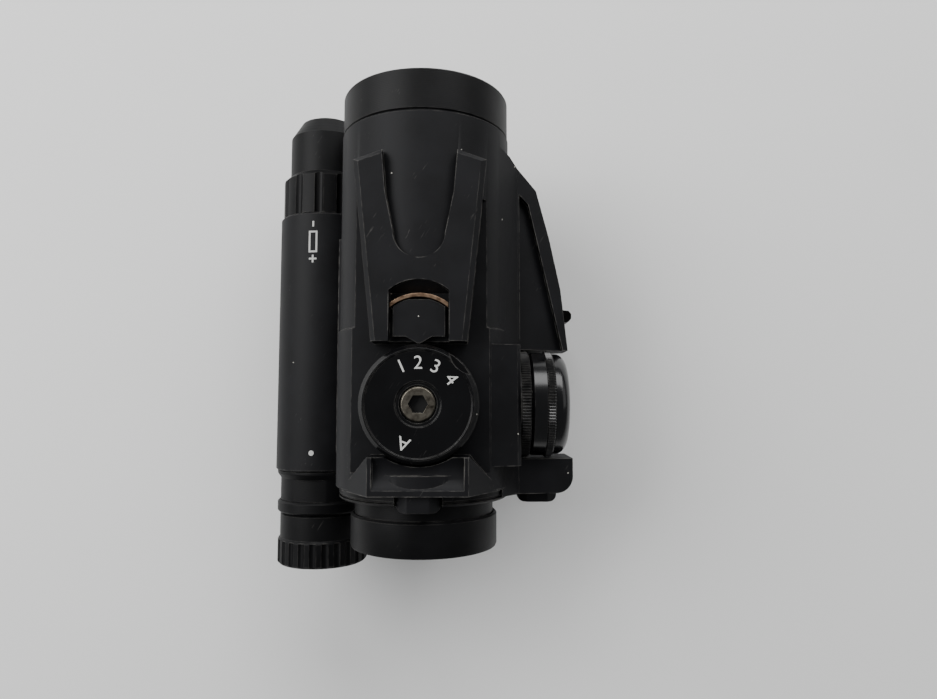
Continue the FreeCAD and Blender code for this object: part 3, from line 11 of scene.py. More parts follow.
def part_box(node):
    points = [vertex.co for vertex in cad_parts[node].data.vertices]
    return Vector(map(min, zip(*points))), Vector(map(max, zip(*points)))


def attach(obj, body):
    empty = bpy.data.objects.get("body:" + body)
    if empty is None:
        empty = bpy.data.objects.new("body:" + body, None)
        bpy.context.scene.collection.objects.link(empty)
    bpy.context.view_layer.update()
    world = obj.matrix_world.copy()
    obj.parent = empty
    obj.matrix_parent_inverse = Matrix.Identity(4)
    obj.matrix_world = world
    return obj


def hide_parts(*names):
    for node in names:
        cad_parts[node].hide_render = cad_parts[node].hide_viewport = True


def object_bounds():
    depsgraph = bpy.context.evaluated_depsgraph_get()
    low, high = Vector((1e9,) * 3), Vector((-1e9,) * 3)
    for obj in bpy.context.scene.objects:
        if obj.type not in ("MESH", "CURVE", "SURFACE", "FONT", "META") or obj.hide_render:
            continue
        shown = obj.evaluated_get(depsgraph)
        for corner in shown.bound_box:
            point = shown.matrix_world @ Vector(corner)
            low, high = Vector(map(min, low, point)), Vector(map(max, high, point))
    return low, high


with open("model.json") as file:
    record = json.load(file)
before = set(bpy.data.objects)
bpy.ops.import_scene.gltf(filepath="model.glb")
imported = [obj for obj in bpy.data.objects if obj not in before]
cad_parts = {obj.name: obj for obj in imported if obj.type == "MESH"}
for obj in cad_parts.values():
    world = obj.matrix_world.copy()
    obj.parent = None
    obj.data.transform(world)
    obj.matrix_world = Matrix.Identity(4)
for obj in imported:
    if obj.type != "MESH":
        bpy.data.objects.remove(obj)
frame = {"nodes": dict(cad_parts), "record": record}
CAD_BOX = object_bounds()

bl_info = {
    "name": "Red Dot Sight",
    "version": (1, 0, 0),
    "blender": (4, 5, 0),
    "location": "View3D > Sidebar > Sight",
    "description": "Finishes the surfaces of a closed-tube red dot sight around its packed frame",
    "category": "Add Mesh",
}

# Lengths are in metres and +Y looks forward through the tube, as in the frame.
MM = 0.001

BODY_OF = {node: body for body, nodes in frame["record"]["behaviour"]["bodies"].items() for node in nodes}


def middle(node):
    low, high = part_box(node)
    return (low + high) / 2


def radius_of(node, way="x"):
    """Half of a node's width along one axis."""
    low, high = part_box(node)
    return (getattr(high, way) - getattr(low, way)) / 2


OPTICAL = middle("front_ring")
BATTERY = middle("battery_tube")
DIAL = middle("elevation_base_ring")
WINDAGE = middle("windage_base_ring")
BATTERY_R = radius_of("battery_tube")

# Play between a ring and what it holds, and the height of paint over the surface it lies on
PLAY = 0.05 * MM
PAINT_HEIGHT = 0.015 * MM

# The dial's settings: sign and degrees clockwise from the index
SETTINGS = (("1", -24), ("2", 0), ("3", 25), ("4", 53), ("A", 200))
FONT_CAP_HEIGHT = 0.70    # capitals are this share of the font's size

# The camera's lens in mm, its tip from straight down, its place and its height above the tube's axis;
# and half the width of the table top
LENS = 24.97
CAMERA_TIP = math.radians(4.5)
CAMERA_X, CAMERA_Y, CAMERA_RISE = 0.01167, -0.01368, 0.1738
TABLE_HALF = 4.0

# Turns of the local Z axis onto each of the sight's axes
ALONG_Y = Matrix.Rotation(math.radians(-90), 4, "X")
ALONG_X = Matrix.Rotation(math.radians(90), 4, "Y")
ALONG_Z = Matrix.Identity(4)


def srgb(code):
    """The linear colour, with alpha, of an sRGB hex code."""
    parts = [int(code[i:i + 2], 16) / 255 for i in (1, 3, 5)]
    return tuple(c / 12.92 if c <= 0.04045 else ((c + 0.055) / 1.055) ** 2.4 for c in parts) + (1.0,)


def colour_property(name, description, code):
    return FloatVectorProperty(name=name, description=description, subtype="COLOR", size=4,
                               min=0.0, max=1.0, default=srgb(code))


class SightSizes(PropertyGroup):
    """Sizes of the details that the frame leaves to the finish."""
    edge_round: FloatProperty(name="Edge round", description="Radius of the broken edges on milled pieces",
                              default=0.22 * MM, unit="LENGTH")
    fine_edge_round: FloatProperty(name="Fine edge round", description="Radius of the edges on small pieces",
                                   default=0.10 * MM, unit="LENGTH")
    knurl_teeth: IntProperty(name="Knurl teeth", description="Teeth around each grip ring of the turret",
                             default=116, min=24)
    knurl_depth: FloatProperty(name="Knurl depth", description="Depth of the grip rings' teeth",
                               default=0.30 * MM, unit="LENGTH")
    hood_pitch: FloatProperty(name="Hood thread pitch", default=0.75 * MM, unit="LENGTH",
                              description="Pitch of the thread inside the front ring")
    numeral_height: FloatProperty(name="Numeral height", description="Height of the dial's numerals",
                                  default=3.1 * MM, unit="LENGTH")
    numeral_radius: FloatProperty(name="Numeral radius", description="From the dial's centre to the numerals",
                                  default=9.5 * MM, unit="LENGTH")
    mark_line: FloatProperty(name="Mark line", description="Width of the painted lines on the battery tube",
                             default=0.5 * MM, unit="LENGTH")


class SightColours(PropertyGroup):
    """Colours of the finishes."""
    body: colour_property("Body", "Bead-blasted hard anodising", "#0d0d0f")
    ring: colour_property("Rings", "Turned and anodised rings", "#09090a")
    gloss: colour_property("Dial", "Polished and anodised turret pieces", "#050506")
    # The worn colour is bare metal on scratches and rubbed edges; on the edges it is also a painted
    # highlight.
    worn: colour_property("Worn edge", "Bare metal that shows through on edges", "#6a6864")
    fleck: colour_property("Fleck", "Chips and dust on the anodising", "#b9b6ae")
    steel: colour_property("Blackened steel", "Chemically blackened steel", "#1a1919")
    worn_steel: colour_property("Worn steel", "Steel with its blackening worn away", "#79746a")
    bronze: colour_property("Spring bronze", "Rolled phosphor bronze", "#b89a80")
    brass: colour_property("Brass", "Turned brass", "#d8b36a")
    paint: colour_property("Paint", "Filled marks", "#cdcdca")
    floor: colour_property("Floor", "Pale matt table top", "#f1f1f0")


# ---- Materials ----------------------------------------------------------------


def add_node(tree, kind, links=None, **settings):
    """Add a shader node; links maps its inputs to sockets or to plain values."""
    made = tree.nodes.new("ShaderNode" + kind)
    for name, value in settings.items():
        setattr(made, name, value)
    for name, value in (links or {}).items():
        if isinstance(value, bpy.types.NodeSocket):
            tree.links.new(value, made.inputs[name])
        else:
            made.inputs[name].default_value = value
    return made


def new_material(name, **sockets):
    """A material with its shader's own sockets set, and its object coordinates in millimetres."""
    material = bpy.data.materials.new(name)
    material.use_nodes = True
    tree = material.node_tree
    shader = tree.nodes["Principled BSDF"]
    for socket, value in sockets.items():
        shader.inputs[socket.replace("_", " ")].default_value = value
    place = add_node(tree, "TexCoord").outputs["Object"]
    in_mm = add_node(tree, "VectorMath", {0: place, 3: 1 / MM}, operation="SCALE").outputs["Vector"]
    return material, tree, shader, in_mm


def blend_colours(tree, amount, first, second):
    return add_node(tree, "Mix", {0: amount, 6: first, 7: second}, data_type="RGBA").outputs[2]


def step_up(tree, value, low, high, top=1.0):
    """0 below low, rising to top at high."""
    limits = {"Value": value, "From Min": low, "From Max": high, "To Min": 0.0, "To Max": top}
    return add_node(tree, "MapRange", limits).outputs["Result"]


def times(tree, first, second):
    return add_node(tree, "Math", {0: first, 1: second}, operation="MULTIPLY").outputs[0]


def vary_roughness(tree, shader, value, least, most):
    """Roughness that goes from least to most as a pattern goes from 0 to 1."""
    spread = add_node(tree, "MapRange", {"Value": value, "To Min": least, "To Max": most})
    tree.links.new(spread.outputs["Result"], shader.inputs["Roughness"])


def edge_wear_and_highlight(tree, in_mm, radius_mm, top):
    """Rubbed outer edges, partly real wear and partly a painted edge highlight: where a rounded normal leaves
    the true one, broken up by patches.
    """
    rounded = add_node(tree, "Bevel", {"Radius": radius_mm * MM}, samples=6).outputs["Normal"]
    flat = add_node(tree, "NewGeometry").outputs["Normal"]
    same = add_node(tree, "VectorMath", {0: rounded, 1: flat}, operation="DOT_PRODUCT").outputs["Value"]
    turned_away = add_node(tree, "Math", {0: 1.0, 1: same}, operation="SUBTRACT").outputs[0]
    patches = add_node(tree, "TexNoise", {"Vector": in_mm, "Scale": 1 / 2.2, "Detail": 4.0}).outputs["Fac"]
    broken = step_up(tree, patches, 0.34, 0.60)
    return times(tree, step_up(tree, turned_away, 0.012, 0.16, top), broken)


def flecks(tree, in_mm, spacing_mm, size_mm, share):
    """Small chips, one in each cell of a few; share is how many of the cells have one."""
    wobble = add_node(tree, "TexNoise", {"Vector": in_mm, "Scale": 1 / 0.5}).outputs["Color"]
    bent = add_node(tree, "VectorMath", {0: wobble, 1: (0.35, 0.35, 0.35), 2: in_mm},
                    operation="MULTIPLY_ADD").outputs["Vector"]
    cells = add_node(tree, "TexVoronoi", {"Vector": bent, "Scale": 1 / spacing_mm})
    near = add_node(tree, "Math", {0: cells.outputs["Distance"], 1: size_mm / spacing_mm},
                    operation="LESS_THAN").outputs[0]
    chance = add_node(tree, "SeparateColor", {0: cells.outputs["Color"]}).outputs[0]
    chosen = add_node(tree, "Math", {0: chance, 1: share}, operation="LESS_THAN").outputs[0]
    return times(tree, near, chosen)


def scratches(tree, in_mm, turn, spacing_mm):
    """Fine straight scratches along one direction: noise drawn out 60 times, cut to thin lines.

    Real ones are a few hundredths of a millimetre wide; they are drawn coarser so that they can be seen."""
    turned = add_node(tree, "Mapping", {"Vector": in_mm, "Rotation": turn, "Scale": (60.0, 1.0, 1.0)},
                      vector_type="TEXTURE")
    lines = add_node(tree, "TexNoise", {"Vector": turned.outputs["Vector"], "Scale": 1 / spacing_mm,
                                        "Detail": 1.0}).outputs["Fac"]
    areas = add_node(tree, "TexNoise", {"Vector": in_mm, "Scale": 1 / 7.0}).outputs["Fac"]
    return times(tree, step_up(tree, lines, 0.705, 0.73), step_up(tree, areas, 0.56, 0.68))


def lathe_marks(tree, in_mm, centre, turn, pitch_mm):
    """Feed marks of a lathe: a wave that runs along the axis and outwards from it.

    Real marks are 0.1 to 0.2 mm apart; they are drawn about 0.5 mm apart so that they can be seen at all."""
    at_axis = add_node(tree, "VectorMath", {0: in_mm, 1: centre / MM}, operation="SUBTRACT").outputs[0]
    local = add_node(tree, "Mapping", {"Vector": at_axis, "Rotation": turn}).outputs["Vector"]
    split = add_node(tree, "SeparateXYZ", {0: local})
    level = add_node(tree, "CombineXYZ", {0: split.outputs[0], 1: split.outputs[1]}).outputs[0]
    radius = add_node(tree, "VectorMath", {0: level}, operation="LENGTH").outputs["Value"]
    travel = add_node(tree, "Math", {0: split.outputs[2], 1: radius}, operation="ADD").outputs[0]
    phase = times(tree, travel, 2 * math.pi / pitch_mm)
    return add_node(tree, "Math", {0: phase}, operation="SINE").outputs[0]


def bump(tree, shader, height, strength, depth_mm, under=None):
    links = {"Height": height, "Strength": strength, "Distance": depth_mm * MM}
    if under is not None:
        links["Normal"] = under
    normal = add_node(tree, "Bump", links).outputs["Normal"]
    tree.links.new(normal, shader.inputs["Normal"])
    return normal


def anodised(name, colours, colour, roughness, shine, wear_and_highlight_top, fleck_share, grain_depth_mm, lathe=None):
    """Anodised aluminium: an oxide skin over the metal, so it doesn't shine as bare metal does."""
    material, tree, shader, in_mm = new_material(name, Specular_IOR_Level=shine)
    blotches = add_node(tree, "TexNoise", {"Vector": in_mm, "Scale": 1 / 9.0, "Detail": 4.0}).outputs["Fac"]
    lighter = tuple(c * 1.9 for c in colour[:3]) + (1.0,)
    skin = blend_colours(tree, step_up(tree, blotches, 0.35, 0.75), colour, lighter)
    # Pale edges: partly real wear, partly a painted highlight that lightens every edge whatever the light.
    rubbed_and_highlit = blend_colours(tree, edge_wear_and_highlight(tree, in_mm, 0.40, wear_and_highlight_top), skin, tuple(colours.worn))
    lined = blend_colours(tree, times(tree, scratches(tree, in_mm, (0.2, 0.1, 1.0), 0.35), 0.22), rubbed_and_highlit,
                          tuple(colours.worn))
    small = flecks(tree, in_mm, 3.4, 0.20, fleck_share)
    large = flecks(tree, in_mm, 15.0, 0.50, fleck_share)
    chips = add_node(tree, "Math", {0: small, 1: large}, operation="MAXIMUM").outputs[0]
    final = blend_colours(tree, chips, lined, tuple(colours.fleck))
    tree.links.new(final, shader.inputs["Base Color"])
    # Blasting leaves pits of about 0.05 mm; they are drawn 0.3 mm wide so that they can be seen at all.
    grain = add_node(tree, "TexNoise", {"Vector": in_mm, "Scale": 1 / 0.30, "Detail": 3.0}).outputs["Fac"]
    vary_roughness(tree, shader, blotches, roughness - 0.07, roughness + 0.07)
    normal = bump(tree, shader, grain, 0.35, grain_depth_mm)
    if lathe:
        centre, turn, pitch_mm, strength = lathe
        bump(tree, shader, lathe_marks(tree, in_mm, centre, turn, pitch_mm), strength, 0.01, normal)
    return material


def plain_metal(name, colour, roughness, dark=None, grain_mm=0.4, scratch=0.0, line=(0.0, 0.0, 0.4)):
    """Bare or blackened metal with patches of tarnish, fine grain and rubbing marks."""
    material, tree, shader, in_mm = new_material(name, Metallic=1.0)
    patches = add_node(tree, "TexNoise", {"Vector": in_mm, "Scale": 1 / 1.6, "Detail": 5.0}).outputs["Fac"]
    tarnish = dark or tuple(c * 0.55 for c in colour[:3]) + (1.0,)
    mixed = blend_colours(tree, step_up(tree, patches, 0.40, 0.68), colour, tarnish)
    marks = times(tree, scratches(tree, in_mm, line, 0.25), scratch)
    bright = blend_colours(tree, marks, mixed, tuple(min(1.0, c * 1.8) for c in colour[:3]) + (1.0,))
    tree.links.new(bright, shader.inputs["Base Color"])
    vary_roughness(tree, shader, patches, roughness - 0.08, roughness + 0.14)
    grain = add_node(tree, "TexNoise", {"Vector": in_mm, "Scale": 1 / grain_mm, "Detail": 2.0}).outputs["Fac"]
    bump(tree, shader, grain, 0.3, 0.012)
    return material


def moulded(name, colour, roughness, speckle_mm, **sockets):
    """Moulded or pressed non-metals: a slightly mottled colour and a fine skin."""
    material, tree, shader, in_mm = new_material(name, **sockets)
    mottle = add_node(tree, "TexNoise", {"Vector": in_mm, "Scale": 1 / speckle_mm,
                                         "Detail": 3.0}).outputs["Fac"]
    darker = tuple(c * 0.75 for c in colour[:3]) + (1.0,)
    tree.links.new(blend_colours(tree, mottle, darker, colour), shader.inputs["Base Color"])
    vary_roughness(tree, shader, mottle, roughness - 0.05, roughness + 0.05)
    bump(tree, shader, mottle, 0.2, 0.01)
    return material


def coated_glass(name, tint):
    """Polished optical glass; the thin coating shows as a faint coloured film, with a little dust."""
    material, tree, shader, in_mm = new_material(name, IOR=1.52, Transmission_Weight=1.0, Coat_Weight=0.4,
                                                 Coat_Roughness=0.03, Coat_IOR=1.9)
    shader.inputs["Coat Tint"].default_value = tint
    film = add_node(tree, "TexNoise", {"Vector": in_mm, "Scale": 1 / 14.0}).outputs["Fac"]
    tree.links.new(blend_colours(tree, film, srgb("#f2f7f5"), srgb("#e4efec")), shader.inputs["Base Color"])
    dust = flecks(tree, in_mm, 1.6, 0.09, 0.25)
    vary_roughness(tree, shader, dust, 0.015, 0.5)
    return material


class SIGHT_OT_finishes(Operator):
    """Make every material of the sight"""
    bl_idname = "sight.finishes"
    bl_label = "Finishes"

    def execute(self, context):
        tints = context.scene.sight_colours
        body, ring, gloss = tuple(tints.body), tuple(tints.ring), tuple(tints.gloss)
        to_y, to_x, level = (math.radians(90), 0.0, 0.0), (0.0, math.radians(-90), 0.0), (0.0, 0.0, 0.0)
        # Milled, blasted with glass beads and hard anodised: matt, faintly blotchy, pale on rubbed edges,
        # partly real wear and partly a painted edge highlight.
        anodised("blasted_anodised_aluminium", tints, body, 0.54, 0.17, 0.85, 0.10, 0.030)
        # Turned and anodised without blasting: satin, with feed marks around the tube's axis.
        anodised("turned_anodised_aluminium", tints, ring, 0.46, 0.15, 0.40, 0.03, 0.012,
                 (OPTICAL, to_y, 0.45, 0.35))
        # The same finish turned about the battery tube's axis.
        anodised("turned_anodised_battery_end", tints, ring, 0.48, 0.14, 0.45, 0.05, 0.014,
                 (BATTERY, to_y, 0.45, 0.35))
        # Turned, polished and anodised: a near-black gloss with faint rings about the dial's axis.
        anodised("polished_anodised_dial", tints, gloss, 0.20, 0.32, 0.60, 0.05, 0.004,
                 (DIAL, level, 0.5, 0.20))
        # The same gloss turned about the windage axis.
        anodised("polished_anodised_turret", tints, gloss, 0.20, 0.50, 0.30, 0.02, 0.004,
                 (WINDAGE, to_x, 0.5, 0.18))
        # Machined steel, blackened in a hot salt bath: dark brown-black with a dull metal shine.
        plain_metal("blackened_steel", tuple(tints.steel), 0.42, scratch=0.4)
        # The screw's head, its blackening worn through by the key to brown-grey metal.
        plain_metal("worn_screw_steel", tuple(tints.worn_steel), 0.36, srgb("#35312b"), 0.25, 0.5,
                    (0.0, 0.0, 1.2))
        # The bottom of the screw's socket: painted shade, nearly black, standing in for the dark of the
        # recess.
        moulded("oiled_socket", srgb("#0a0908"), 0.45, 0.4)
        # Ground and hardened pins, shafts and nuts: bright grey.
        plain_metal("ground_steel", srgb("#a2a09b"), 0.30, scratch=0.3)
        # Rolled phosphor bronze strip: warm, polished along its bent edge.
        plain_metal("rolled_spring_bronze", tuple(tints.bronze), 0.30, srgb("#5c4636"), 0.3, 0.3)
        # Turned brass contacts: yellow with light tarnish.
        plain_metal("turned_brass", tuple(tints.brass), 0.28, scratch=0.2)
        # Compression-moulded nitrile rubber: dull black.
        moulded("moulded_nitrile_rubber", srgb("#101010"), 0.75, 0.5)
        # Moulded natural nylon: milky and waxy.
        moulded("moulded_nylon", srgb("#d8d3c4"), 0.50, 0.8, Subsurface_Weight=0.05)
        # Glass-fibre circuit board under a green solder mask.
        moulded("solder_masked_board", srgb("#1f6b3a"), 0.35, 0.35)
        # Printed plastic sleeve shrunk onto a battery cell.
        moulded("shrunk_cell_sleeve", srgb("#2b4a7a"), 0.30, 2.0, Coat_Weight=0.3)
        # Clear red epoxy over a light source.
        moulded("red_epoxy", srgb("#b0120c"), 0.20, 0.3, Coat_Weight=0.5)
        # Thick paint wiped into shallow engraving: off-white and slightly uneven.
        moulded("wiped_in_paint", tuple(tints.paint), 0.60, 0.4)
        # Optical glass with a green-blue low-reflection film.
        coated_glass("coated_window_glass", srgb("#b8e6d8"))
        # The objective's cemented surface mirrors red light, so it looks ruby from the front.
        coated_glass("red_mirror_glass", srgb("#ff9a8c"))
        return {"FINISHED"}


# ---- Mesh building ------------------------------------------------------------


def soften(bm, sharp_degrees):
    """Shade every face smooth, and keep edges sharper than the given angle as creases."""
    for face in bm.faces:
        face.smooth = True
    for edge in bm.edges:
        edge.smooth = len(edge.link_faces) == 2 and edge.calc_face_angle(0.0) < math.radians(sharp_degrees)


def to_piece(bm, name, material):
    mesh = bpy.data.meshes.new(name)
    bm.to_mesh(mesh)
    bm.free()
    mesh.materials.append(bpy.data.materials[material])
    piece = bpy.data.objects.new(name, mesh)
    bpy.context.scene.collection.objects.link(piece)
    return piece


def round_edges(piece, width, segments=2):
    """Round the piece's hard edges by a small bevel with flat faces kept flat."""
    bevel = piece.modifiers.new("broken_edges", "BEVEL")
    bevel.width = width
    bevel.segments = segments
    bevel.limit_method = "ANGLE"
    bevel.angle_limit = math.radians(32)
    bevel.harden_normals = True
    bevel.use_clamp_overlap = True
    bevel.miter_outer = "MITER_ARC"


def coat(node, material):
    """Give a CAD node a material in place of its own."""
    slots = frame["nodes"][node].data.materials
    slots.clear()
    slots.append(bpy.data.materials[material])


def hand_over(piece, node):
    """The piece moves with the node's body and stands for it; the node gets the same material."""
    coat(node, piece.data.materials[0].name)
    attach(piece, BODY_OF[node])
    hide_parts(node)


def surfaced(node, material, edge_width=0.0, sharp_degrees=24):
    """A joined copy of a CAD node's loose triangles, smooth where it curves, with broken edges."""
    bm = bmesh.new()
    bm.from_mesh(frame["nodes"][node].data)
    bmesh.ops.remove_doubles(bm, verts=bm.verts, dist=0.001 * MM)
    bmesh.ops.dissolve_limit(bm, angle_limit=math.radians(0.2), verts=bm.verts, edges=bm.edges)
    soften(bm, sharp_degrees)
    piece = to_piece(bm, node + "_finished", material)
    if edge_width > 0:
        round_edges(piece, edge_width)
    hand_over(piece, node)
    return piece


def turned(name, outline, centre, turn, material, steps=144, teeth=0, ribbed=None, depth=0.0):
    """Spin an outline of (radius, distance along the axis), measured from the centre.

    An outline that starts on the axis also ends there, and is left open along it. With teeth, every second
    column of points in the ribbed stretch is drawn in by depth."""
    bm = bmesh.new()
    spots = [bm.verts.new((radius, 0.0, along)) for radius, along in outline]
    first = 1 if outline[0][0] == 0.0 else 0
    loop = [bm.edges.new((spots[i - 1], spots[i])) for i in range(first, len(spots))]
    count = 2 * teeth if teeth else steps
    bmesh.ops.spin(bm, geom=spots + loop, cent=(0, 0, 0), axis=(0, 0, 1), angle=2 * math.pi, steps=count,
                   use_merge=True, use_duplicate=False)
    bmesh.ops.remove_doubles(bm, verts=bm.verts, dist=0.001 * MM)
    bmesh.ops.recalc_face_normals(bm, faces=bm.faces)
    if teeth:
        low, high, least = ribbed
        outer = [v for v in bm.verts if low < v.co.z < high and math.hypot(v.co.x, v.co.y) > least]
        drawn = [v for v in outer if round(math.atan2(v.co.y, v.co.x) * count / (2 * math.pi)) % 2]
        factor = 1 - depth / max(math.hypot(v.co.x, v.co.y) for v in outer)
        bmesh.ops.scale(bm, vec=(factor, factor, 1.0), verts=drawn)
    soften(bm, 24)
    bmesh.ops.transform(bm, matrix=Matrix.Translation(centre) @ turn, verts=bm.verts)
    return to_piece(bm, name, material)


# ---- Pieces -------------------------------------------------------------------


class SIGHT_OT_housing(Operator):
    """Make the one-piece housing with its blasted surface and broken edges"""
    bl_idname = "sight.housing"
    bl_label = "Housing"

    def execute(self, context):
        sizes = context.scene.sight_sizes
        surfaced("housing", "blasted_anodised_aluminium", sizes.edge_round)
        return {"FINISHED"}


class SIGHT_OT_tube_rings(Operator):
    """Make the threaded front ring, the rear cover and the eyepiece ring"""
    bl_idname = "sight.tube_rings"
    bl_label = "Front Ring and Eyepiece"

    def execute(self, context):
        sizes = context.scene.sight_sizes
        low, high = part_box("front_ring")
        outer = radius_of("front_ring")
        centre = Vector((OPTICAL.x, 0.0, OPTICAL.z))
        window_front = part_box("front_window")[1].y
        window_r = radius_of("front_window")
        spigot = radius_of("front_o_ring")
        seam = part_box("housing")[1].y
        thread_r = window_r + 1.0 * MM
        lip = window_front + 1.5 * MM
        turns = int((high.y - lip - 0.8 * MM) / sizes.hood_pitch)
        outline = [(outer - 0.6 * MM, high.y)]
        outline += [(outer - 0.2 * MM, high.y - 0.15 * MM), (outer, high.y - 0.5 * MM)]
        outline += [(outer, seam + 0.35 * MM), (outer - 0.35 * MM, seam + 0.02 * MM)]
        outline += [(spigot, seam + 0.02 * MM)]
        outline += [(spigot - 0.7 * MM, seam - 1.0 * MM), (spigot - 0.7 * MM, low.y)]
        outline += [(window_r + PLAY, low.y)]
        outline += [(window_r + PLAY, window_front), (window_r - 1.2 * MM, window_front)]
        outline += [(window_r - 1.2 * MM, lip), (thread_r, lip)]
        for i in range(turns):
            start = lip + 0.2 * MM + i * sizes.hood_pitch
            outline += [(thread_r, start), (thread_r + 0.35 * MM, start + sizes.hood_pitch * 0.45)]
        outline += [(thread_r, high.y - 0.5 * MM), (thread_r + 0.5 * MM, high.y)]
        ring = turned("front_ring_finished", outline, centre, ALONG_Y, "turned_anodised_aluminium",
                      steps=160)
        hand_over(ring, "front_ring")
        surfaced("rear_cover", "turned_anodised_aluminium", sizes.fine_edge_round)

        low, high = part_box("eyepiece_ring")
        outer = radius_of("eyepiece_ring")
        opening = radius_of("rear_window") - 0.6 * MM
        neck = opening + 2.3 * MM
        outline = [(opening + 0.5 * MM, low.y), (outer - 0.75 * MM, low.y)]
        outline += [(outer - 0.2 * MM, low.y + 0.2 * MM)]
        outline += [(outer, low.y + 0.75 * MM), (outer, high.y - 0.5 * MM), (outer - 0.5 * MM, high.y)]
        outline += [(neck, high.y), (neck, low.y + 2.9 * MM), (opening, low.y + 2.9 * MM)]
        outline += [(opening, low.y + 0.5 * MM)]
        ring = turned("eyepiece_ring_finished", outline, centre, ALONG_Y, "turned_anodised_aluminium",
                      steps=160)
        hand_over(ring, "eyepiece_ring")
        return {"FINISHED"}


class SIGHT_OT_optics(Operator):
    """Give the windows, the doublet and the inner tube their surfaces"""
    bl_idname = "sight.optics"
    bl_label = "Optics"

    def execute(self, context):
        sizes = context.scene.sight_sizes
        for node in ("front_window", "rear_window", "objective_front"):
            surfaced(node, "coated_window_glass", sizes.fine_edge_round, 40)
        surfaced("objective_mirror", "red_mirror_glass", sizes.fine_edge_round, 40)
        for node in ("inner_tube", "front_window_retainer", "rear_window_retainer", "objective_retainer"):
            surfaced(node, "turned_anodised_aluminium", sizes.fine_edge_round)
        return {"FINISHED"}


class SIGHT_OT_range_dial(Operator):
    """Make the range dial, its base ring, its clamping screw and its numerals"""
    bl_idname = "sight.range_dial"
    bl_label = "Range Dial"

    def execute(self, context):
        sizes = context.scene.sight_sizes
        surfaced("elevation_dial", "polished_anodised_dial", sizes.fine_edge_round)
        screw = surfaced("elevation_screw", "worn_screw_steel", sizes.fine_edge_round)
        screw.data.materials.append(bpy.data.materials["oiled_socket"])
        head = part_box("elevation_screw")[1].z
        # Faces at the bottom of the socket get the painted shade.
        for face in screw.data.polygons:
            out = math.hypot(face.center.x - DIAL.x, face.center.y - DIAL.y)
            if out < 2.2 * MM and face.center.z < head - 0.3 * MM:
                face.material_index = 1
        low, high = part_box("elevation_base_ring")
        outer = radius_of("elevation_base_ring")
        inner = radius_of("elevation_seal") + PLAY
        tall = high.z - low.z
        outline = [(inner, 0.0), (outer - 0.3 * MM, 0.0), (outer, 0.3 * MM), (outer, tall - 0.35 * MM)]
        outline += [(outer - 0.35 * MM, tall), (inner, tall)]
        ring = turned("elevation_base_ring_finished", outline, Vector((DIAL.x, DIAL.y, low.z)), ALONG_Z,
                      "polished_anodised_dial")
        hand_over(ring, "elevation_base_ring")
        self.numerals(sizes)
        return {"FINISHED"}

    def numerals(self, sizes):
        """Numerals that stand outward around the dial, clockwise from the index, as painted engraving."""
        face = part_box("elevation_dial")[1].z - 0.25 * MM
        for sign, degrees in SETTINGS:
            text = bpy.data.curves.new("numeral", "FONT")
            text.body = sign
            text.size = sizes.numeral_height / FONT_CAP_HEIGHT
            text.align_x = "CENTER"
            text.align_y = "CENTER"
            text.extrude = 0.02 * MM
            writing = bpy.data.objects.new("numeral", text)
            bpy.context.scene.collection.objects.link(writing)
            bpy.context.view_layer.update()
            finished = writing.evaluated_get(bpy.context.evaluated_depsgraph_get())
            mesh = bpy.data.meshes.new_from_object(finished)
            bpy.data.objects.remove(writing)
            turn = Matrix.Rotation(-math.radians(degrees), 4, "Z")
            place = Matrix.Translation((DIAL.x, DIAL.y, face + 0.01 * MM)) @ turn
            mesh.transform(place @ Matrix.Translation((0.0, sizes.numeral_radius, 0.0)))
            mesh.materials.clear()
            mesh.materials.append(bpy.data.materials["wiped_in_paint"])
            numeral = bpy.data.objects.new("dial_mark_" + sign, mesh)
            bpy.context.scene.collection.objects.link(numeral)
            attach(numeral, "range_dial")


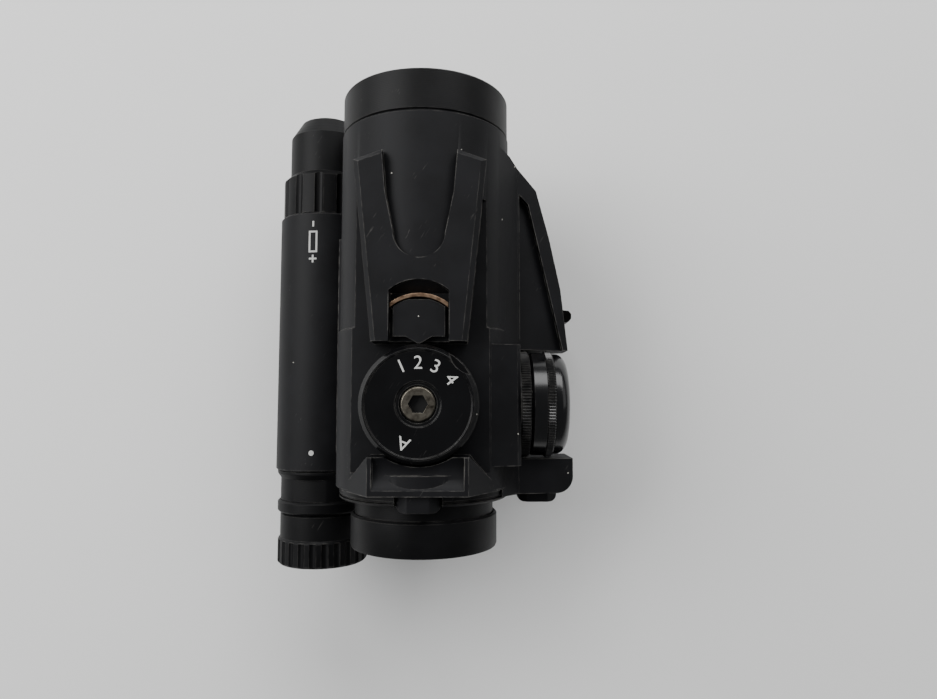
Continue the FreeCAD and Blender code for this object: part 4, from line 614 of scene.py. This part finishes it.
class SIGHT_OT_windage_turret(Operator):
    """Make the windage turret: two knurled rings, a glossy barrel and a domed cap"""
    bl_idname = "sight.windage_turret"
    bl_label = "Windage Turret"

    def execute(self, context):
        sizes = context.scene.sight_sizes
        low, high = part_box("windage_base_ring")
        outer = radius_of("windage_base_ring", "y")
        inner = radius_of("windage_seal", "y") + PLAY
        wide = high.x - low.x
        centre = Vector((low.x, WINDAGE.y, WINDAGE.z))
        outline = [(inner, 0.0), (outer - 0.35 * MM, 0.0), (outer - 0.35 * MM, 0.3 * MM), (outer, 0.45 * MM)]
        outline += [(outer, wide - 0.35 * MM), (outer - 0.35 * MM, wide), (inner, wide)]
        ring = turned("windage_base_ring_finished", outline, centre, ALONG_X, "turned_anodised_aluminium",
                      teeth=sizes.knurl_teeth, ribbed=(0.4 * MM, wide - 0.2 * MM, outer - 0.2 * MM),
                      depth=sizes.knurl_depth)
        hand_over(ring, "windage_base_ring")

        drum_low, drum_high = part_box("windage_drum")
        cap_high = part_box("windage_cap")[1]
        start = drum_low.x - low.x
        end = drum_high.x - low.x
        ring_start = end - 2.1 * MM
        hollow = outer - 4.4 * MM
        outline = [(hollow, start), (outer - 0.9 * MM, start), (outer - 0.4 * MM, start + 0.5 * MM)]
        outline += [(outer - 0.4 * MM, ring_start), (outer, ring_start + 0.3 * MM), (outer, end - 0.3 * MM)]
        outline += [(outer - 0.4 * MM, end), (hollow - 2.1 * MM, end), (hollow - 2.1 * MM, start + 1.8 * MM)]
        outline += [(hollow, start + 1.8 * MM)]
        drum = turned("windage_drum_finished", outline, centre, ALONG_X, "polished_anodised_turret",
                      teeth=sizes.knurl_teeth, depth=sizes.knurl_depth,
                      ribbed=(ring_start + 0.2 * MM, end - 0.2 * MM, outer - 0.2 * MM))
        hand_over(drum, "windage_drum")

        crown = cap_high.x - low.x
        rim = outer - 0.7 * MM
        edge = 1.0 * MM
        rise = crown - end - edge
        outline = [(0.0, end), (rim - 0.15 * MM, end), (rim, end + 0.15 * MM), (rim, end + edge)]
        for i in range(1, 9):
            angle = math.radians(90 * i / 8)
            radius = rim - 3.4 * MM * (1 - math.cos(angle))
            outline.append((radius, end + edge + (rise - 0.2 * MM) * math.sin(angle)))
        outline += [(rim * 0.45, crown - 0.05 * MM), (0.0, crown)]
        cap = turned("windage_cap_finished", outline, centre, ALONG_X, "polished_anodised_turret", steps=128)
        hand_over(cap, "windage_cap")
        return {"FINISHED"}


class SIGHT_OT_locks(Operator):
    """Make the lock buttons, the index plate and the bronze click spring"""
    bl_idname = "sight.locks"
    bl_label = "Locks and Index"

    def execute(self, context):
        sizes = context.scene.sight_sizes
        for node in ("elevation_lock_button", "windage_lock_button"):
            surfaced(node, "blasted_anodised_aluminium", sizes.edge_round)
        surfaced("index_plate", "blasted_anodised_aluminium", sizes.fine_edge_round)
        surfaced("click_spring", "rolled_spring_bronze", sizes.fine_edge_round)
        return {"FINISHED"}


def wrapped_mark(name, patches, centre_y):
    """Flat patches (x0, x1, y0, y1), in millimetres from their middle, laid onto the battery tube's top."""
    bm = bmesh.new()
    for x0, x1, y0, y1 in patches:
        made = bmesh.ops.create_grid(bm, x_segments=6, y_segments=1, size=0.5)
        wide, tall = (x1 - x0) * MM, (y1 - y0) * MM
        bmesh.ops.scale(bm, vec=(wide, tall, 1.0), verts=made["verts"])
        place = ((x0 + x1) / 2 * MM, centre_y + (y0 + y1) / 2 * MM, 0.0)
        bmesh.ops.translate(bm, vec=place, verts=made["verts"])
    radius = BATTERY_R + PAINT_HEIGHT
    for vert in bm.verts:
        angle = vert.co.x / radius
        vert.co.x = BATTERY.x + radius * math.sin(angle)
        vert.co.z = BATTERY.z + radius * math.cos(angle)
    bmesh.ops.recalc_face_normals(bm, faces=bm.faces)
    piece = to_piece(bm, name, "wiped_in_paint")
    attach(piece, BODY_OF["battery_tube"])


class SIGHT_OT_battery_tube(Operator):
    """Make the battery tube, its screw cap and the painted marks on top of it"""
    bl_idname = "sight.battery_tube"
    bl_label = "Battery Tube"

    def execute(self, context):
        sizes = context.scene.sight_sizes
        surfaced("battery_tube", "blasted_anodised_aluminium", sizes.fine_edge_round)
        surfaced("battery_cap", "turned_anodised_battery_end", sizes.edge_round)
        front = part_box("battery_tube")[1].y
        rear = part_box("battery_tube")[0].y
        line = sizes.mark_line / MM
        wrapped_mark("minus_mark", [(-1.55, -1.55 + line, -0.8, 0.8)], front - 3.5 * MM)
        half, tall = 1.25, 3.1
        frame_lines = [(-half, -half + line, -tall, tall), (half - line, half, -tall, tall)]
        inside = half - line
        frame_lines += [(-inside, inside, -tall, -tall + line), (-inside, inside, tall - line, tall)]
        shift = -1.3
        outline = [(x0 + shift, x1 + shift, y0, y1) for x0, x1, y0, y1 in frame_lines]
        wrapped_mark("cell_outline_mark", outline, front - 8.6 * MM)
        thin = line / 2
        plus = [(-1.1 + shift, 1.1 + shift, -thin, thin)]
        plus += [(-thin + shift, thin + shift, thin, 1.1), (-thin + shift, thin + shift, -1.1, -thin)]
        wrapped_mark("plus_mark", plus, front - 13.5 * MM)
        self.dot("index_dot", rear + 5.3 * MM, 0.72 * MM)
        return {"FINISHED"}

    def dot(self, name, centre_y, radius):
        """The round dot that the brightness knob is read against."""
        bm = bmesh.new()
        bmesh.ops.create_circle(bm, cap_ends=True, cap_tris=True, segments=28, radius=radius)
        bmesh.ops.translate(bm, vec=(-0.7 * MM, 0.0, 0.0), verts=bm.verts)
        top = BATTERY_R + PAINT_HEIGHT
        for vert in bm.verts:
            vert.co.z = BATTERY.z + math.sqrt(top ** 2 - vert.co.x ** 2)
        bmesh.ops.translate(bm, vec=(BATTERY.x, centre_y, 0.0), verts=bm.verts)
        bmesh.ops.recalc_face_normals(bm, faces=bm.faces)
        piece = to_piece(bm, name, "wiped_in_paint")
        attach(piece, BODY_OF["battery_tube"])


class SIGHT_OT_switch(Operator):
    """Make the rotary brightness switch at the battery tube's rear end"""
    bl_idname = "sight.switch"
    bl_label = "Brightness Switch"

    def execute(self, context):
        sizes = context.scene.sight_sizes
        for node in ("switch_housing", "switch_ring", "switch_knob"):
            surfaced(node, "turned_anodised_battery_end", sizes.fine_edge_round)
        return {"FINISHED"}


class SIGHT_OT_clamp(Operator):
    """Make the rail clamp with its jaw, lever, pins and screws"""
    bl_idname = "sight.clamp"
    bl_label = "Rail Clamp"

    def execute(self, context):
        sizes = context.scene.sight_sizes
        surfaced("mount_base", "blasted_anodised_aluminium", sizes.edge_round)
        for node in ("clamp_jaw", "clamp_lever", "recoil_lug", "lever_pin"):
            surfaced(node, "blackened_steel", sizes.edge_round)
        surfaced("mount_screws", "blackened_steel", sizes.fine_edge_round)
        surfaced("jaw_guide_pins", "ground_steel", sizes.fine_edge_round)
        return {"FINISHED"}


INNER_FINISHES = {
    "moulded_nitrile_rubber": ("front_o_ring", "rear_o_ring", "elevation_seal", "windage_seal", "cap_o_ring"),
    "ground_steel": ("gimbal_ring", "gimbal_yaw_pins", "gimbal_pitch_pins", "elevation_drive_nut",
                     "elevation_pusher", "windage_drive_nut", "windage_pusher", "switch_shaft", "cap_spring"),
    "rolled_spring_bronze": ("return_spring",),
    "turned_brass": ("rear_contact", "feed_pin"),
    "blackened_steel": ("cradle_screws",),
    "moulded_nylon": ("battery_liner", "emitter_holder"),
    "solder_masked_board": ("switch_board", "emitter_board"),
    "shrunk_cell_sleeve": ("battery_cell",),
    "red_epoxy": ("emitter",),
}


class SIGHT_OT_inner_works(Operator):
    """Give the pieces inside the sight their surfaces"""
    bl_idname = "sight.inner_works"
    bl_label = "Inner Works"

    def execute(self, context):
        for material, nodes in INNER_FINISHES.items():
            for node in nodes:
                coat(node, material)
        return {"FINISHED"}


class SIGHT_OT_stage(Operator):
    """Set the pale table, the soft light and the camera"""
    bl_idname = "sight.stage"
    bl_label = "Stage"

    def execute(self, context):
        self.table(context)
        self.light("window_left", (-0.80, 0.35, 0.75), (1.0, 0.8), 14.0)
        self.light("window_front", (0.20, 0.95, 0.65), (1.2, 0.6), 13.0)
        self.light("wall_right", (0.85, 0.30, 0.60), (0.9, 0.6), 1.4)
        world = bpy.data.worlds.new("room")
        world.use_nodes = True
        world.node_tree.nodes["Background"].inputs["Color"].default_value = srgb("#c6c8ca")
        world.node_tree.nodes["Background"].inputs["Strength"].default_value = 0.34
        context.scene.world = world
        self.camera(context)
        return {"FINISHED"}

    def table(self, context):
        """A matt laminate table top that the sight stands on."""
        material, tree, shader, in_mm = new_material("matt_laminate_table", IOR=1.45)
        cloud = add_node(tree, "TexNoise", {"Vector": in_mm, "Scale": 1 / 60.0}).outputs["Fac"]
        tone = tuple(context.scene.sight_colours.floor)
        darker = tuple(c * 0.96 for c in tone[:3]) + (1.0,)
        tree.links.new(blend_colours(tree, cloud, darker, tone), shader.inputs["Base Color"])
        vary_roughness(tree, shader, cloud, 0.55, 0.65)
        bm = bmesh.new()
        bmesh.ops.create_grid(bm, x_segments=4, y_segments=4, size=TABLE_HALF)
        bmesh.ops.translate(bm, vec=(0.0, 0.0, CAD_BOX[0][2]), verts=bm.verts)
        top = to_piece(bm, "table_top", "matt_laminate_table")

    def light(self, name, place, size, power):
        lamp = bpy.data.lights.new(name, "AREA")
        lamp.shape = "RECTANGLE"
        lamp.size, lamp.size_y = size
        lamp.energy = power
        holder = bpy.data.objects.new(name, lamp)
        holder.location = place
        holder.rotation_euler = (-Vector(place)).to_track_quat("-Z", "Y").to_euler()
        bpy.context.scene.collection.objects.link(holder)

    def camera(self, context):
        """Nearly straight down, tipped 4.5 degrees so that it looks from behind the dial."""
        lens = bpy.data.cameras.new("camera")
        lens.sensor_width = 36.0
        lens.lens = LENS
        look = Vector((0.0, math.sin(CAMERA_TIP), -math.cos(CAMERA_TIP)))
        up = Vector((0.0, math.cos(CAMERA_TIP), math.sin(CAMERA_TIP)))
        stand = Matrix((look.cross(up), up, -look)).transposed().to_4x4()
        stand.translation = Vector((CAMERA_X, CAMERA_Y, OPTICAL.z + CAMERA_RISE))
        holder = bpy.data.objects.new("camera", lens)
        context.scene.collection.objects.link(holder)
        holder.matrix_world = stand
        context.scene.camera = holder


# ---- Panel and registration ---------------------------------------------------

OPERATORS = (SIGHT_OT_finishes, SIGHT_OT_housing, SIGHT_OT_tube_rings, SIGHT_OT_optics, SIGHT_OT_range_dial,
             SIGHT_OT_windage_turret, SIGHT_OT_locks, SIGHT_OT_battery_tube, SIGHT_OT_switch, SIGHT_OT_clamp,
             SIGHT_OT_inner_works, SIGHT_OT_stage)


class SIGHT_PT_panel(Panel):
    """The sight's pieces, sizes and colours"""
    bl_idname = "SIGHT_PT_panel"
    bl_label = "Red Dot Sight"
    bl_space_type = "VIEW_3D"
    bl_region_type = "UI"
    bl_category = "Sight"

    def draw(self, context):
        for operator in OPERATORS:
            self.layout.operator(operator.bl_idname)
        for group in (context.scene.sight_sizes, context.scene.sight_colours):
            for name in group.__annotations__:
                self.layout.prop(group, name)


CLASSES = (SightSizes, SightColours) + OPERATORS + (SIGHT_PT_panel,)


def register():
    for cls in CLASSES:
        bpy.utils.register_class(cls)
    bpy.types.Scene.sight_sizes = PointerProperty(type=SightSizes)
    bpy.types.Scene.sight_colours = PointerProperty(type=SightColours)


def unregister():
    del bpy.types.Scene.sight_colours
    del bpy.types.Scene.sight_sizes
    for cls in reversed(CLASSES):
        bpy.utils.unregister_class(cls)


def main():
    register()
    bpy.ops.sight.finishes()
    bpy.ops.sight.housing()
    bpy.ops.sight.tube_rings()
    bpy.ops.sight.optics()
    bpy.ops.sight.range_dial()
    bpy.ops.sight.windage_turret()
    bpy.ops.sight.locks()
    bpy.ops.sight.battery_tube()
    bpy.ops.sight.switch()
    bpy.ops.sight.clamp()
    bpy.ops.sight.inner_works()
    bpy.ops.sight.stage()


if __name__ == "__main__":
    main()
